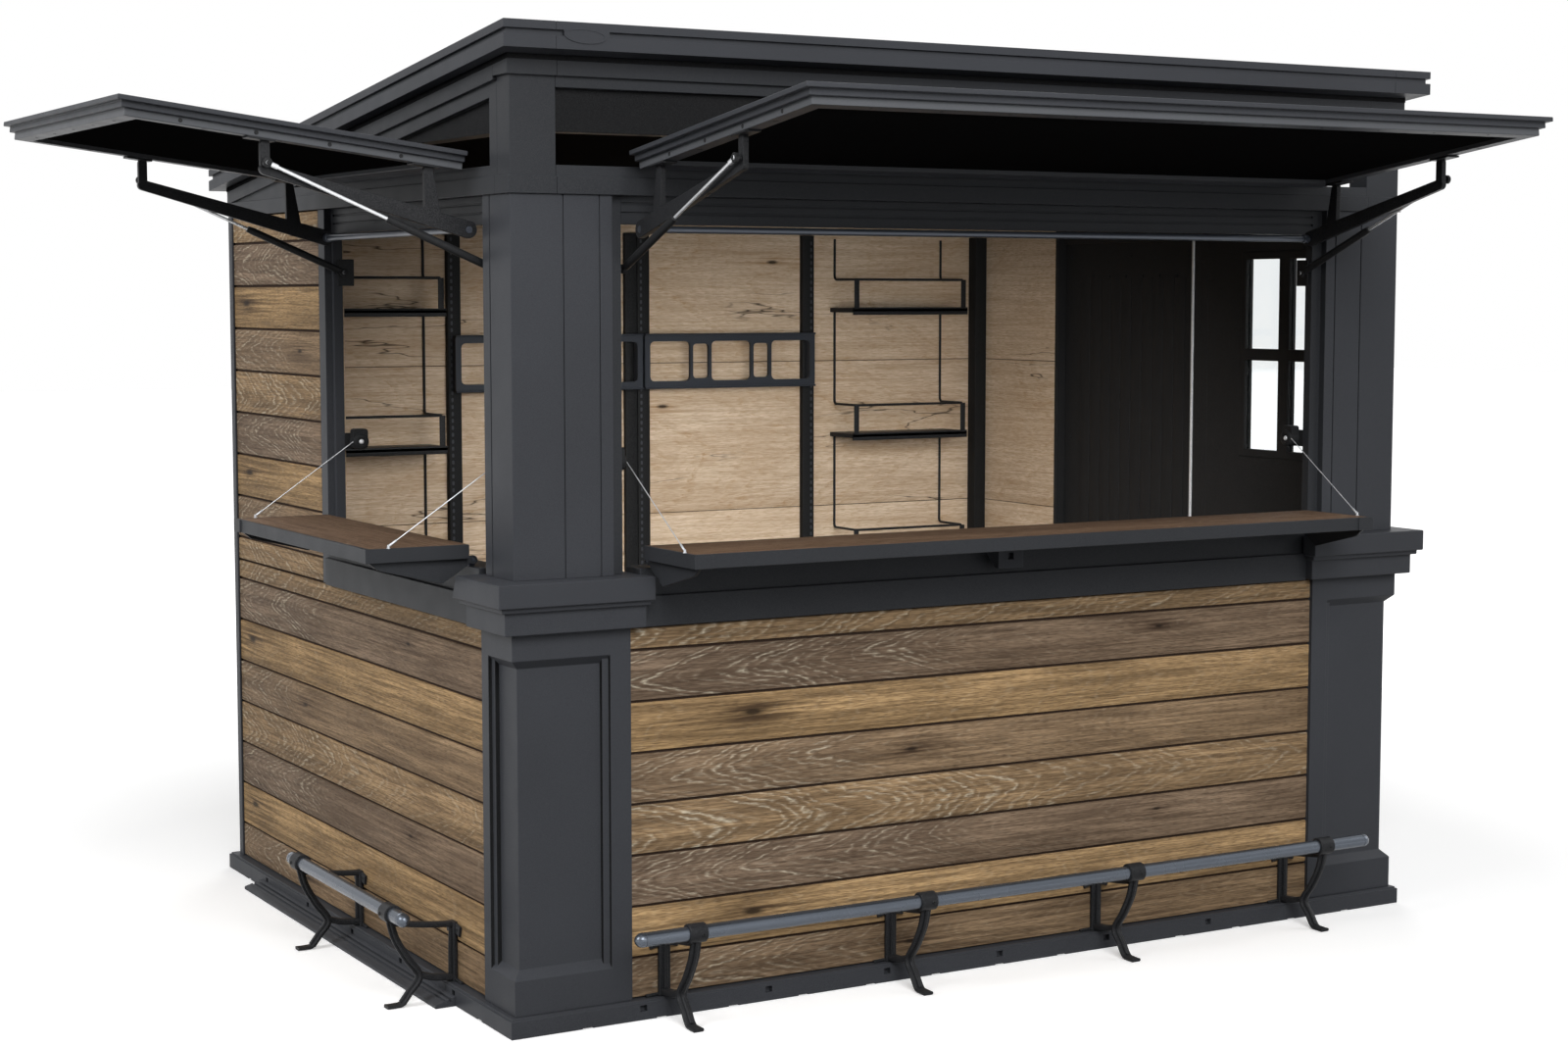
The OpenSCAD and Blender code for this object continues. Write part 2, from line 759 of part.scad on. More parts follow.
// Door leaf with plank grooves on both faces and its hinge knuckles.
module door_leaf() color(resin_light) placed() {
    outer = base_width - siding_setback;
    low = door_low;
    difference() {
        block([outer - door_thickness, door_leaf_start, low], [outer, door_leaf_end, door_top]);
        for (place = [door_leaf_start + door_border:door_plank_pitch:door_leaf_end - door_border],
             face = [outer - door_thickness, outer])
            translate([face, place, (low + door_top) / 2])
                cube([joint_depth * 2, joint_half_width * 2, door_top - low - door_border * 2],
                     center = true);
    }
    for (level = hinge_levels) translate([door_axis[0], door_axis[1], level]) difference() {
        union() {
            cylinder(d = hinge_diameter, h = hinge_height);
            translate([outer - door_axis[0], -hinge_plate_width, 0])
                cube([hinge_plate, hinge_plate_width, hinge_height]);
        }
        cylinder(d = door_pin + pin_clearance * 2, h = hinge_height * 3, center = true);
    }
}

// Fixed halves of the door hinges with their pins.
module door_hinges() color(steel) placed() for (level = hinge_levels)
    translate([door_axis[0], door_axis[1], level]) {
        reach = base_width - siding_setback - door_axis[0];
        for (low = [-hinge_height - pin_clearance, hinge_height + pin_clearance])
            translate([0, 0, low]) difference() {
                union() {
                    cylinder(d = hinge_diameter, h = hinge_height);
                    translate([reach, 0, 0]) cube([hinge_plate, hinge_plate_width, hinge_height]);
                }
                translate([reach * 2, -hinge_diameter, -hinge_height])
                    cube([-reach, hinge_diameter * 2, hinge_height * 3]);
            }
        translate([0, 0, -hinge_height / 2]) cylinder(d = door_pin, h = hinge_height * 2);
    }

// Lever handles with plates on both faces of the door.
module door_handle() color(steel) placed() {
    outer = base_width - siding_setback;
    place = door_leaf_start + door_border / 2;
    for (face = [[outer, 1], [outer - door_thickness, -1]])
        translate([face[0], place, skirt_height + handle_height]) rotate([0, face[1] * 90, 0]) {
            translate([-handle_plate, -handle_plate / 2, 0])
                cube([handle_plate * 2, handle_plate, handle_plate_thickness]);
            cylinder(d = handle_diameter, h = handle_reach);
            translate([0, 0, handle_reach - handle_diameter / 2]) rotate([-90, 0, 0])
                cylinder(d = handle_diameter, h = handle_length);
        }
}

// Window frame with its cross of bars.
module window_frame() color(resin) placed() {
    outer = inner_right + window_panel + window_frame_proud;
    inner = inner_right - window_frame_proud;
    middle = (window_start + window_end) / 2;
    centre = (window_bottom + window_top) / 2;
    difference() {
        block([inner, window_start, window_bottom], [outer, window_end, window_top]);
        for (row = [0:1], column = [0:1])
            block([inner - wall_thickness,
                   column == 0 ? window_start + window_frame_width : middle + window_bar / 2,
                   row == 0 ? window_bottom + window_frame_width : centre + window_cross_bar / 2],
                  [outer + wall_thickness,
                   column == 0 ? middle - window_bar / 2 : window_end - window_frame_width,
                   row == 0 ? centre - window_cross_bar / 2 : window_top - window_frame_width]);
        pane();
    }
}

// Pane of glass in the groove of the window frame.
module pane() {
    edge = window_frame_width / 2;
    translate([inner_right + (window_panel - glass_thickness) / 2, 0, 0])
        block([0, window_start + edge, window_bottom + edge],
              [glass_thickness, window_end - edge, window_top - edge]);
}

module window_glass() color(glass) placed() pane();

// Corner pedestal with a sunk panel that runs round the outer corner.
module pedestal() {
    low = skirt_height + pedestal_bottom_rail;
    high = pedestal_top - pedestal_top_rail;
    difference() {
        block([pedestal_setback, pedestal_setback, skirt_height],
              [pedestal_front, pedestal_side, pedestal_top]);
        block([inner_left, inner_left, 0], [base_width, base_depth, roof_front_height]);
        for (step = [[panel_first_step, 0], [panel_first_step + panel_second_step, panel_ledge]])
            sunk_panel(step[0], pedestal_front - pedestal_front_stile - step[1],
                       pedestal_side - pedestal_side_stile - step[1], low, high);
    }
}

// Space of a sunk panel round the outer corner, with slopes at its foot and its head.
module sunk_panel(depth, front_end, side_end, low, high) {
    run(0, front_end) panel_profile(depth, low, high);
    on_left() run(0, side_end) panel_profile(depth, low, high);
}

module panel_profile(depth, low, high) polygon([
    [0, low], [pedestal_setback, low], [pedestal_setback + depth, low + depth],
    [pedestal_setback + depth, high - depth], [pedestal_setback, high], [0, high]]);

module pedestals() color(resin) placed() {
    pedestal();
    on_right() pedestal();
}

// Cornice cap on a pedestal: band, fillet and slab round the corner, with room for the sills.
module cap() difference() {
    fillet = pedestal_top + cap_band_height;
    slab = fillet + cap_fillet_height;
    union() {
        block([-cap_band_reach, -cap_band_reach, pedestal_top], [sill_front, sill_side, fillet]);
        block([-cap_fillet_reach, -cap_fillet_reach, fillet],
              [cap_front - cap_fillet_height / 2, cap_side - cap_end_slope / 2, slab]);
        block([-cap_slab_reach, -cap_slab_reach, slab], [cap_front, cap_side, cap_top]);
    }
    block([inner_left, inner_left, 0], [base_width, base_depth, roof_front_height]);
    block([sill_front, sill_lower_setback, 0], [base_width, base_depth, roof_front_height]);
    block([sill_lower_setback, sill_side, 0], [base_width, base_depth, roof_front_height]);
    rotate([90, 0, 90]) linear_extrude(base_width, center = true)
        polygon([[cap_side, slab], [cap_side, cap_top], [cap_side - cap_end_slope, cap_top]]);
}

module caps() color(resin) placed() {
    cap();
    on_right() cap();
}

// Corner column with the rebated jambs of both openings and its panel seams.
module column() {
    jamb = siding_setback + rebate_depth;
    back = siding_setback + column_thickness;
    front_end = front_opening[0];
    side_end = left_opening[0];
    difference() {
        translate([0, 0, cap_top]) linear_extrude(wall_top - cap_top) polygon([
            [siding_setback, siding_setback], [column_front, siding_setback],
            [column_front, jamb], [front_end, jamb], [front_end, back], [back, back],
            [back, side_end], [jamb, side_end], [jamb, column_side],
            [siding_setback, column_side]]);
        for (seam = [seam_first, seam_second])
            block([seam - seam_width / 2, 0, 0],
                  [seam + seam_width / 2, siding_setback + seam_depth, roof_front_height]);
        block([0, seam_side - seam_width / 2, 0],
              [siding_setback + seam_depth, seam_side + seam_width / 2, roof_front_height]);
    }
}

module columns() color(resin) placed() {
    column();
    on_right() column();
}

// Post with the rebated jamb behind the left opening.
module left_rear_post() color(resin) placed() translate([0, 0, siding_top])
    linear_extrude(wall_top - siding_top) polygon([
        [siding_setback, post_start], [siding_setback + rebate_depth, post_start],
        [siding_setback + rebate_depth, left_opening[1]],
        [siding_setback + column_thickness, left_opening[1]],
        [siding_setback + column_thickness, post_start + post_width],
        [siding_setback, post_start + post_width]]);

// Section of a sill with a step on its face.
module sill_profile() polygon([
    [inner_left, siding_top], [inner_left, sill_top], [sill_upper_setback, sill_top],
    [sill_upper_setback, sill_step], [sill_lower_setback, sill_step],
    [sill_lower_setback, siding_top]]);

module front_sill() color(resin) placed()
    run(sill_front, base_width - sill_front) sill_profile();

module left_sill() color(resin) placed() on_left()
    run(sill_side, left_opening[1]) sill_profile();

// Catch with a slot in the middle of a sill.
module catch_at(place) translate([place, sill_upper_setback, counter_bottom - lug_gap])
    difference() {
        translate([-catch_width / 2, -catch_reach, -catch_height])
            cube([catch_width, catch_reach, catch_height]);
        translate([0, -catch_reach, -catch_height / 2])
            cube([catch_slot, catch_slot * 2, catch_slot], center = true);
        translate([0, 0, -catch_height]) rotate([45, 0, 0])
            cube([catch_width * 2, catch_reach, catch_reach], center = true);
    }

module counter_catches() color(resin) placed() {
    catch_at(base_width / 2);
    on_left() catch_at((left_opening[0] + left_opening[1]) / 2);
}

// Header over the front opening with two corner pieces, architrave, open slot, frieze and crown.
module front_header() color(resin) placed() difference() {
    frieze_end = base_width - frieze_start;
    crown_front = siding_setback - crown_reach;
    crown_low = roof_under(crown_front) - crown_height;
    union() {
        run(siding_setback, base_width - siding_setback) polygon([
            [inner_left, wall_top], [inner_left, roof_under(inner_left)],
            [siding_setback, roof_under(siding_setback)], [siding_setback, wall_top]]);
        run(crown_front, base_width - crown_front) polygon([
            [inner_left, crown_low], [inner_left, roof_under(inner_left)],
            [crown_front, roof_under(crown_front)], [crown_front, crown_low]]);
        block([siding_setback - architrave_reach, siding_setback - architrave_reach, wall_top],
              [base_width - siding_setback + architrave_reach, inner_left,
               wall_top + architrave_height]);
    }
    block([frieze_start, 0, slot_bottom], [frieze_end, base_depth, slot_top]);
    block([frieze_start, 0, slot_top],
          [frieze_end, siding_setback + frieze_depth, crown_low - frieze_margin]);
    for (place = [frieze_start - seat_gap, frieze_end])
        block([place, -base_depth, 0], [place + seat_gap, base_depth, roof_front_height * 2]);
}

// Header over a side wall, which gets lower with the roof.
module side_header() {
    fall_start = roof_under(0) - frieze_crown;
    frieze_end = min((fall_start - slot_bottom) / slope, outer_back - frieze_start);
    slot_end = min((fall_start - slot_top) / slope, frieze_end - slot_height * 2);
    difference() {
        union() {
            rotate([90, 0, 90]) translate([0, 0, siding_setback]) linear_extrude(wall_thickness)
                polygon([[inner_left, wall_top], [outer_back, wall_top],
                         [outer_back, roof_under(outer_back)],
                         [inner_left, roof_under(inner_left)]]);
            rotate([90, 0, 90]) translate([0, 0, siding_setback - crown_reach])
                linear_extrude(crown_reach + wall_thickness / 2)
                    polygon([[inner_left, roof_under(inner_left) - crown_height],
                             [outer_back, roof_under(outer_back) - crown_height],
                             [outer_back, roof_under(outer_back)],
                             [inner_left, roof_under(inner_left)]]);
            block([siding_setback - architrave_reach, inner_left, wall_top],
                  [inner_left, outer_back, wall_top + architrave_height]);
        }
        rotate([90, 0, 90]) linear_extrude(siding_setback + frieze_depth)
            polygon([[frieze_start, slot_bottom], [frieze_end, slot_bottom],
                     [frieze_start, roof_under(frieze_start) - frieze_crown]]);
        rotate([90, 0, 90]) linear_extrude(base_width / 2)
            polygon([[frieze_start, slot_bottom], [frieze_end - slot_height, slot_bottom],
                     [slot_end, slot_top], [frieze_start, slot_top]]);
    }
}

module left_header() color(resin) placed() side_header();

module right_header() color(resin) placed() on_right() side_header();

// Header over the back wall.
module back_header() color(resin) placed() run(inner_left, inner_right)
    polygon([[inner_back, wall_top], [outer_back, wall_top],
             [outer_back, roof_under(outer_back)], [inner_back, roof_under(inner_back)]]);

// Grooved lower part of a header, set back behind the flap.
module lower_header(opening) {
    front = siding_setback + rebate_depth;
    back = front + lower_header_thickness;
    drop = wall_top - lower_header_bottom;
    levels = [for (share = bay_shares) lower_header_bottom + drop * share];
    run(opening[0], opening[1]) polygon(concat(
        [[back, wall_top], [back, lower_header_bottom], [front, lower_header_bottom]],
        [for (level = levels, part = [[0, 0], [1, 0], [1, 1], [0, 1]])
            [front + part[0] * header_groove, level + part[1] * header_groove]],
        [[front, wall_top]]));
}

module lower_headers() color(resin) placed() {
    lower_header(front_opening);
    on_left() lower_header(left_opening);
}

// Sloping roof with a grooved edge, ribs on the deck and a hollow underside.
module roof() color(resin_light) placed()
    multmatrix([[1, 0, 0, 0], [0, 1, 0, 0],
                [0, -slope, 1, -slope * roof_front_overhang], [0, 0, 0, 1]]) {
        low = roof_front_height - fascia_height;
        left = -roof_side_overhang;
        right = base_width + roof_side_overhang;
        front = -roof_front_overhang;
        back = base_depth + roof_back_overhang;
        groove_top = roof_front_height - roof_lip;
        difference() {
            block([left, front, low], [right, back, roof_front_height]);
            block([inner_left, inner_left, 0],
                  [inner_right, inner_back, roof_front_height - roof_deck]);
            difference() {
                block([left * 2, front * 2, groove_top - roof_groove],
                      [right * 2, back * 2, groove_top]);
                block([left + roof_groove_depth, front + roof_groove_depth, 0],
                      [right - roof_groove_depth, back - roof_groove_depth, roof_front_height]);
                block([plate_start, front, 0],
                      [plate_start + plate_width, base_depth / 2, roof_front_height]);
            }
            for (place = [fascia_seam, base_width - fascia_seam])
                translate([place, front, low])
                    cube([seam_width / 2, seam_depth, fascia_height * 4], center = true);
        }
        for (index = [1:roof_ribs])
            translate([base_width * index / (roof_ribs + 1) - roof_rib_width / 2, 0,
                       roof_front_height])
                cube([roof_rib_width, base_depth, roof_rib_height]);
    }

// Moves a shape from the inner upper edge of a flap to its open place.
module open_flap() {
    translate([0, flap_inner_setback, flap_inner_height]) rotate([-flap_tilt, 0, 0]) children();
}

// Flap with a lip, two steps and a sunk underside.
module flap(opening) open_flap() {
    left = opening[0] - flap_overlap;
    right = opening[1] + flap_overlap;
    difference() {
        union() {
            block([left, -flap_length, -flap_lip], [right, 0, 0]);
            block([left + flap_middle_setback, -flap_length + flap_middle_setback,
                   -flap_lip - flap_middle],
                  [right - flap_middle_setback, 0, -flap_lip]);
            block([left + flap_inner_step_setback, -flap_length + flap_inner_step_setback,
                   -flap_thickness],
                  [right - flap_inner_step_setback, 0, -flap_lip - flap_middle]);
        }
        block([left + flap_frame, -flap_length + flap_frame, -flap_thickness * 2],
              [right - flap_frame, -flap_frame, -flap_thickness + flap_sunk]);
    }
}

module front_flap() color(resin) placed() flap(front_opening);

module left_flap() color(resin) placed() on_left() flap(left_opening);

// Point on the underside of an open flap at a reach in front of the base.
function flap_under(reach) =
    [-reach, flap_inner_height + (reach + flap_inner_setback) * tan(flap_tilt)
             - (flap_thickness + foot_pad_thickness) / cos(flap_tilt)];

// Cast arm from the hub to two feet under the flap.
module arm_at(place, way) {
    hub = [hub_setback, hub_height];
    knee = [-knee_reach, knee_height - arm_knee_width / 2];
    waist = hub + (knee - hub) * bay_shares[0] / 2;
    foot_in = flap_under(inner_foot_reach);
    foot_out = flap_under(knee_reach);
    translate([place, 0, 0]) rotate([90, 0, 90]) linear_extrude(arm_thickness, center = true) {
        difference() {
            union() {
                link(hub, knee, arm_hub_width, arm_knee_width);
                link(waist, [-inner_foot_reach, foot_in[1] - foot_width / 3], arm_hub_width,
                     foot_width);
                link(knee, [-knee_reach, foot_out[1] - foot_width / 3], foot_width, foot_width);
            }
            translate(hub) circle(d = bar_diameter);
            translate([0, foot_pad_thickness / cos(flap_tilt)])
                polygon([foot_out, foot_in, [foot_in[0] + foot_pad_length, foot_in[1]
                         - foot_pad_length * tan(flap_tilt)], [0, roof_front_height],
                         [-base_depth, roof_front_height], [foot_out[0] - foot_pad_length,
                         foot_out[1] + foot_pad_length * tan(flap_tilt)]]);
        }
    }
    for (reach = [inner_foot_reach, knee_reach])
        open_flap() translate([place - foot_pad_width / 2,
                               -reach / cos(flap_tilt) - foot_pad_length / 2
                               - flap_thickness * tan(flap_tilt),
                               -flap_thickness - foot_pad_thickness])
            cube([foot_pad_width, foot_pad_length, foot_pad_thickness]);
    translate([place, pivot_high[0], pivot_high[1]]) rotate([0, way * 90, 0])
        cylinder(d = stud_diameter, h = arm_inset - strut_inset + strut_diameter / 2);
}

module arms(opening) {
    arm_at(opening[0] + arm_inset, -1);
    arm_at(opening[1] - arm_inset, 1);
}

module flap_arms() color(resin_light) placed() {
    arms(front_opening);
    on_left() arms(left_opening);
}

// Bar through the two hubs of a flap.
module hub_bar(opening) {
    translate([opening[0] + arm_inset - arm_thickness / 2, hub_setback, hub_height])
        rotate([0, 90, 0])
            cylinder(d = bar_diameter - joint_clear,
                     h = opening[1] - opening[0] - arm_inset * 2 + arm_thickness);
}

module hub_bars() color(steel) placed() {
    hub_bar(front_opening);
    on_left() hub_bar(left_opening);
}

// Draws a shape along the line of a strut, from its lower pivot.
module along_strut(place) {
    translate([place, pivot_low[0], pivot_low[1]]) rotate([strut_angle - 90, 0, 0]) children();
}

// Places of the two struts of an opening.
function strut_places(opening) = [opening[0] + strut_inset, opening[1] - strut_inset];

// Cylinder of a strut with its lower eye.
module strut_cylinder(place) along_strut(place) difference() {
    union() {
        translate([0, 0, strut_eye / 3])
            cylinder(d = strut_diameter, h = strut_cylinder_length - strut_eye / 3);
        rotate([0, 90, 0]) cylinder(d = strut_eye, h = strut_diameter / 2, center = true);
    }
    rotate([0, 90, 0])
        cylinder(d = stud_diameter + joint_clear, h = strut_diameter * 2, center = true);
    translate([0, 0, strut_eye * 2])
        cylinder(d = rod_diameter + joint_clear, h = strut_length);
}

module strut_cylinders() color(resin) placed() {
    for (place = strut_places(front_opening)) strut_cylinder(place);
    on_left() for (place = strut_places(left_opening)) strut_cylinder(place);
}

// Rod of a strut with its upper eye.
module strut_rod(place) along_strut(place) difference() {
    union() {
        translate([0, 0, strut_cylinder_length / 2])
            cylinder(d = rod_diameter, h = strut_length - strut_cylinder_length / 2);
        translate([0, 0, strut_length]) rotate([0, 90, 0])
            cylinder(d = strut_eye, h = strut_diameter / 2, center = true);
    }
    translate([0, 0, strut_length]) rotate([0, 90, 0])
        cylinder(d = stud_diameter + joint_clear, h = strut_diameter * 2, center = true);
}

module strut_rods() color(steel) placed() {
    for (place = strut_places(front_opening)) strut_rod(place);
    on_left() for (place = strut_places(left_opening)) strut_rod(place);
}

// Plate and stud that hold the lower eye of a strut on the jamb.
module strut_bracket(place, jamb) {
    way = place > jamb ? 1 : -1;
    translate([jamb, pivot_low[0], pivot_low[1]]) scale([way, 1, 1]) {
        translate([0, -strut_eye / 2, -strut_bracket_height / 2])
            cube([strut_bracket_thickness, strut_bracket_depth, strut_bracket_height]);
        rotate([0, 90, 0]) cylinder(d = stud_diameter, h = strut_inset + strut_diameter / 2);
    }
}

module opening_brackets(opening) for (side = [0:1])
    strut_bracket(strut_places(opening)[side], opening[side]);

module strut_brackets() color(resin) placed() {
    opening_brackets(front_opening);
    on_left() opening_brackets(left_opening);
}

// Distance of a gusset from the jamb, clear of the pillar cap.
function gusset_inset(opening, cap_end) =
    max(counter_end_gap + gusset_setback, cap_end + gusset_clearance - opening[0]);

// Counter frame with corner blocks, gussets and hinge eyes.
module counter_frame(opening, cap_end) {
    left = opening[0] + counter_end_gap;
    right = opening[1] - counter_end_gap;
    inset = gusset_inset(opening, cap_end);
    board_low = counter_top_height - counter_board;
    difference() {
        union() {
            block([left, -counter_reach, counter_bottom],
                  [right, counter_inner_setback, counter_top_height]);
            for (corner = [left, right - corner_block])
                block([corner, -counter_reach - corner_block_proud, counter_bottom],
                      [corner + corner_block, -counter_reach, counter_top_height]);
        }
        block([left + counter_rim, -counter_reach + counter_rim, board_low],
              [right - counter_rim, base_depth, counter_top_height * 2]);
    }
    for (corner = [opening[0] + inset, opening[1] - inset - gusset_thickness])
        translate([corner, 0, 0]) rotate([90, 0, 90]) linear_extrude(gusset_thickness)
            difference() {
                union() {
                    polygon([
                        [0, board_low], [counter_inner_setback, counter_bottom],
                        [counter_hinge_setback, counter_hinge_height + hinge_eye / 2],
                        [counter_hinge_setback - hinge_eye / 2,
                         counter_hinge_height - hinge_eye / 2],
                        [-counter_reach * gusset_shares[0], counter_bottom - gusset_drop],
                        [-counter_reach * gusset_shares[1], counter_bottom - gusset_drop / 3],
                        [-counter_reach + counter_rim, counter_bottom],
                        [-counter_reach + counter_rim, board_low]]);
                    translate([counter_hinge_setback, counter_hinge_height])
                        circle(d = hinge_eye);
                }
                translate([counter_hinge_setback, counter_hinge_height])
                    circle(d = hinge_pin + pin_clearance * 2);
            }
}

module front_counter() color(resin_light) placed() counter_frame(front_opening, cap_front);

module left_counter() color(resin_light) placed() on_left() counter_frame(left_opening, cap_side);

// Counter board in the frame.
module counter_board_in(opening)
    block([opening[0] + counter_end_gap + counter_rim, -counter_reach + counter_rim,
           counter_top_height - counter_board],
          [opening[1] - counter_end_gap - counter_rim, counter_inner_setback,
           counter_top_height]);

module front_counter_board() color(timber) placed() counter_board_in(front_opening);

module left_counter_board() color(timber) placed() on_left() counter_board_in(left_opening);

// Lugs on the sill with the pins of a counter hinge.
module hinge_pair(opening, cap_end) for (side = [0:1])
    translate([opening[side], 0, 0]) scale([side == 0 ? 1 : -1, 1, 1]) {
        outer = gusset_inset(opening, cap_end);
        inner = outer + gusset_thickness + lug_gap;
        block([inner, counter_hinge_setback - lug_depth / 2, sill_top],
              [inner + lug_width, counter_hinge_setback + lug_depth / 2,
               counter_hinge_height + lug_depth / 2]);
        translate([outer, counter_hinge_setback, counter_hinge_height]) rotate([0, 90, 0])
            cylinder(d = hinge_pin, h = inner - outer + lug_width);
    }

module counter_hinges() color(steel) placed() {
    hinge_pair(front_opening, cap_front);
    on_left() hinge_pair(left_opening, cap_side);
}

// Reels that wind up the counter cables, on blocks behind the jambs.
module reel_pair(opening) for (side = [0:1])
    translate([opening[side], 0, cable_high[1]]) scale([side == 0 ? 1 : -1, 1, 1]) {
        centre = cable_high[0] + reel_diameter / 2 + cable_diameter / 2;
        translate([0, centre, 0]) rotate([0, 90, 0])
            cylinder(d = reel_diameter, h = cable_inset + cable_diameter);
        block([-jamb_reach / 2, siding_setback + column_thickness, -reel_diameter / 2],
              [0, centre + reel_diameter / 2, reel_diameter / 2]);
    }

module cable_reels() color(resin) placed() {
    reel_pair(front_opening);
    on_left() reel_pair(left_opening);
}

// Cables from the reels to the anchors on the counter ends.
module cable_pair(opening) for (side = [0:1])
    translate([opening[side], 0, 0]) scale([side == 0 ? 1 : -1, 1, 1]) {
        rod_between([cable_inset, cable_high[0], cable_high[1]],
                    [counter_end_gap + counter_rim / 2, cable_low[0], cable_low[1]],
                    cable_diameter);
        translate([counter_end_gap + counter_rim / 2, cable_low[0], counter_top_height])
            cylinder(d = counter_rim, h = anchor_height);
    }

module front_cables() color(steel) placed() cable_pair(front_opening);

module left_cables() color(steel) placed() on_left() cable_pair(left_opening);

// Foot rail with domed ends.
module rail_tube(start, end) {
    translate([start, -rail_reach, rail_height]) rotate([0, 90, 0])
        cylinder(d = rail_diameter, h = end - start);
    for (place = [start, end]) translate([place, -rail_reach, rail_height])
        sphere(d = rail_diameter);
}

module foot_rails() color(steel) placed() {
    rail_tube(front_rail_start, base_width - front_rail_start);
    on_left() rail_tube(left_bracket_start - left_rail_front_tail, left_rail_end);
}

// Cast bracket with a clamp ring, a bowed leg, a toe on the ground and a flanged wall post.
module rail_bracket(place) translate([place, 0, 0]) {
    rail = [-rail_reach, rail_height];
    waist = [-bracket_waist_reach, bracket_waist_height];
    heel = [-bracket_heel_reach, bracket_leg / 2];
    wall = siding_setback - bracket_post_depth / 2;
    post_top = bracket_arm_height + bracket_leg / 2;
    bow = concat([rail], [for (share = bow_shares)
        [rail[0] + (waist[0] - rail[0]) * share[0], rail[1] + (waist[1] - rail[1]) * share[1]]],
        [waist]);
    difference() {
        union() {
            rotate([90, 0, 90]) linear_extrude(bracket_thickness, center = true) {
                for (index = [1:len(bow) - 1])
                    link(bow[index - 1], bow[index], bracket_leg, bracket_leg);
                link(waist, heel, bracket_leg, bracket_leg);
                link(waist, [wall, bracket_waist_height], bracket_leg, bracket_leg);
                link([-rail_reach, rail_height - rail_diameter / 2 - clamp_wall],
                     [wall, bracket_arm_height], bracket_leg, bracket_leg);
            }
            rotate([90, 0, 90]) linear_extrude(clamp_width, center = true)
                translate(rail) circle(d = rail_diameter + clamp_wall * 2);
        }
        translate([0, -rail_reach, rail_height]) rotate([0, 90, 0])
            cylinder(d = rail_diameter + joint_clear, h = clamp_width * 2, center = true);
        translate([-clamp_width, siding_setback, 0])
            cube([clamp_width * 2, wall_thickness, rail_height * 2]);
    }
    block([-bracket_toe_width / 2, -bracket_heel_reach - bracket_toe, 0],
          [bracket_toe_width / 2, -bracket_heel_reach + bracket_leg / 3, bracket_toe_thickness]);
    block([-bracket_post_width / 2, siding_setback - bracket_post_depth, skirt_height],
          [bracket_post_width / 2, siding_setback, post_top]);
    block([-bracket_flange_width / 2, siding_setback - bracket_flange_thickness,
           post_top - bracket_flange_height],
          [bracket_flange_width / 2, siding_setback, post_top]);
}

module rail_brackets() color(resin) placed() {
    for (index = [0:front_brackets - 1])
        rail_bracket(front_bracket_start + index * front_bracket_pitch);
    on_left() for (place = [left_bracket_start, left_rail_end - left_rail_back_tail])
        rail_bracket(place);
}

// Uprights on the back wall and a post in its right corner.
module shelf_uprights() color(resin) placed() {
    for (place = upright_places)
        block([place - upright_width / 2, inner_back - upright_depth, skirt_height],
              [place + upright_width / 2, inner_back, wall_top - upright_drop]);
    block([inner_right - inner_post, inner_back - inner_post, skirt_height],
          [inner_right, inner_back, wall_top - upright_drop]);
}

// Unit of shelves on two wall wires, each shelf with a bent guard wire on two straps.
module wire_shelf(start, end) {
    half = wire_diameter / 2;
    wall = inner_back - half;
    front = inner_back - shelf_depth + half;
    sides = [start + wire_inset, end - wire_inset];
    for (index = [0:shelf_count - 1]) {
        level = shelf_levels[index];
        slab = level + shelf_thickness;
        guard = slab + guard_height;
        above = index < shelf_count - 1 ? shelf_levels[index + 1] : wall_top - wire_drop;
        block([start, inner_back - shelf_depth, level], [end, inner_back, slab]);
        rod_between([sides[0] - half, front, guard], [sides[1] + half, front, guard],
                    wire_diameter);
        for (place = sides) {
            rod_between([place, front, guard], [place, inner_back, guard], wire_diameter);
            rod_between([place, wall, guard + half + seat_gap], [place, wall, above - seat_gap],
                        wire_diameter);
            block([place - strap_width / 2, front - strap_thickness / 2, slab + seat_gap],
                  [place + strap_width / 2, front + strap_thickness / 2, guard]);
        }
    }
}

module wire_shelves() color(resin) placed() {
    wire_shelf(inner_left + left_shelf_gap,
               upright_places[0] - upright_width / 2 - left_shelf_upright_gap);
    wire_shelf(upright_places[2] + upright_width / 2 + right_shelf_upright_gap,
               inner_right - inner_post - right_shelf_gap);
}

// Rack for glasses between the uprights, with slotted dividers.
module glass_rack() color(resin) placed() {
    back = inner_back - upright_depth;
    start = upright_places[0] - upright_width / 2;
    end = upright_places[2] + upright_width / 2;
    for (level = [rack_bottom, rack_top - rack_rail])
        block([start, back - rack_depth, level], [end, back, level + rack_rail]);
    for (bay = [0:1], share = rack_shares) {
        place = upright_places[bay] + (upright_places[bay + 1] - upright_places[bay]) * share;
        difference() {
            block([place - rack_divider / 2, back - rack_depth, rack_bottom],
                  [place + rack_divider / 2, back, rack_top]);
            block([place - rack_slot / 2, 0, rack_bottom + rack_rail + rack_slot_margin],
                  [place + rack_slot / 2, base_depth, rack_top - rack_rail - rack_slot_margin]);
        }
    }
}

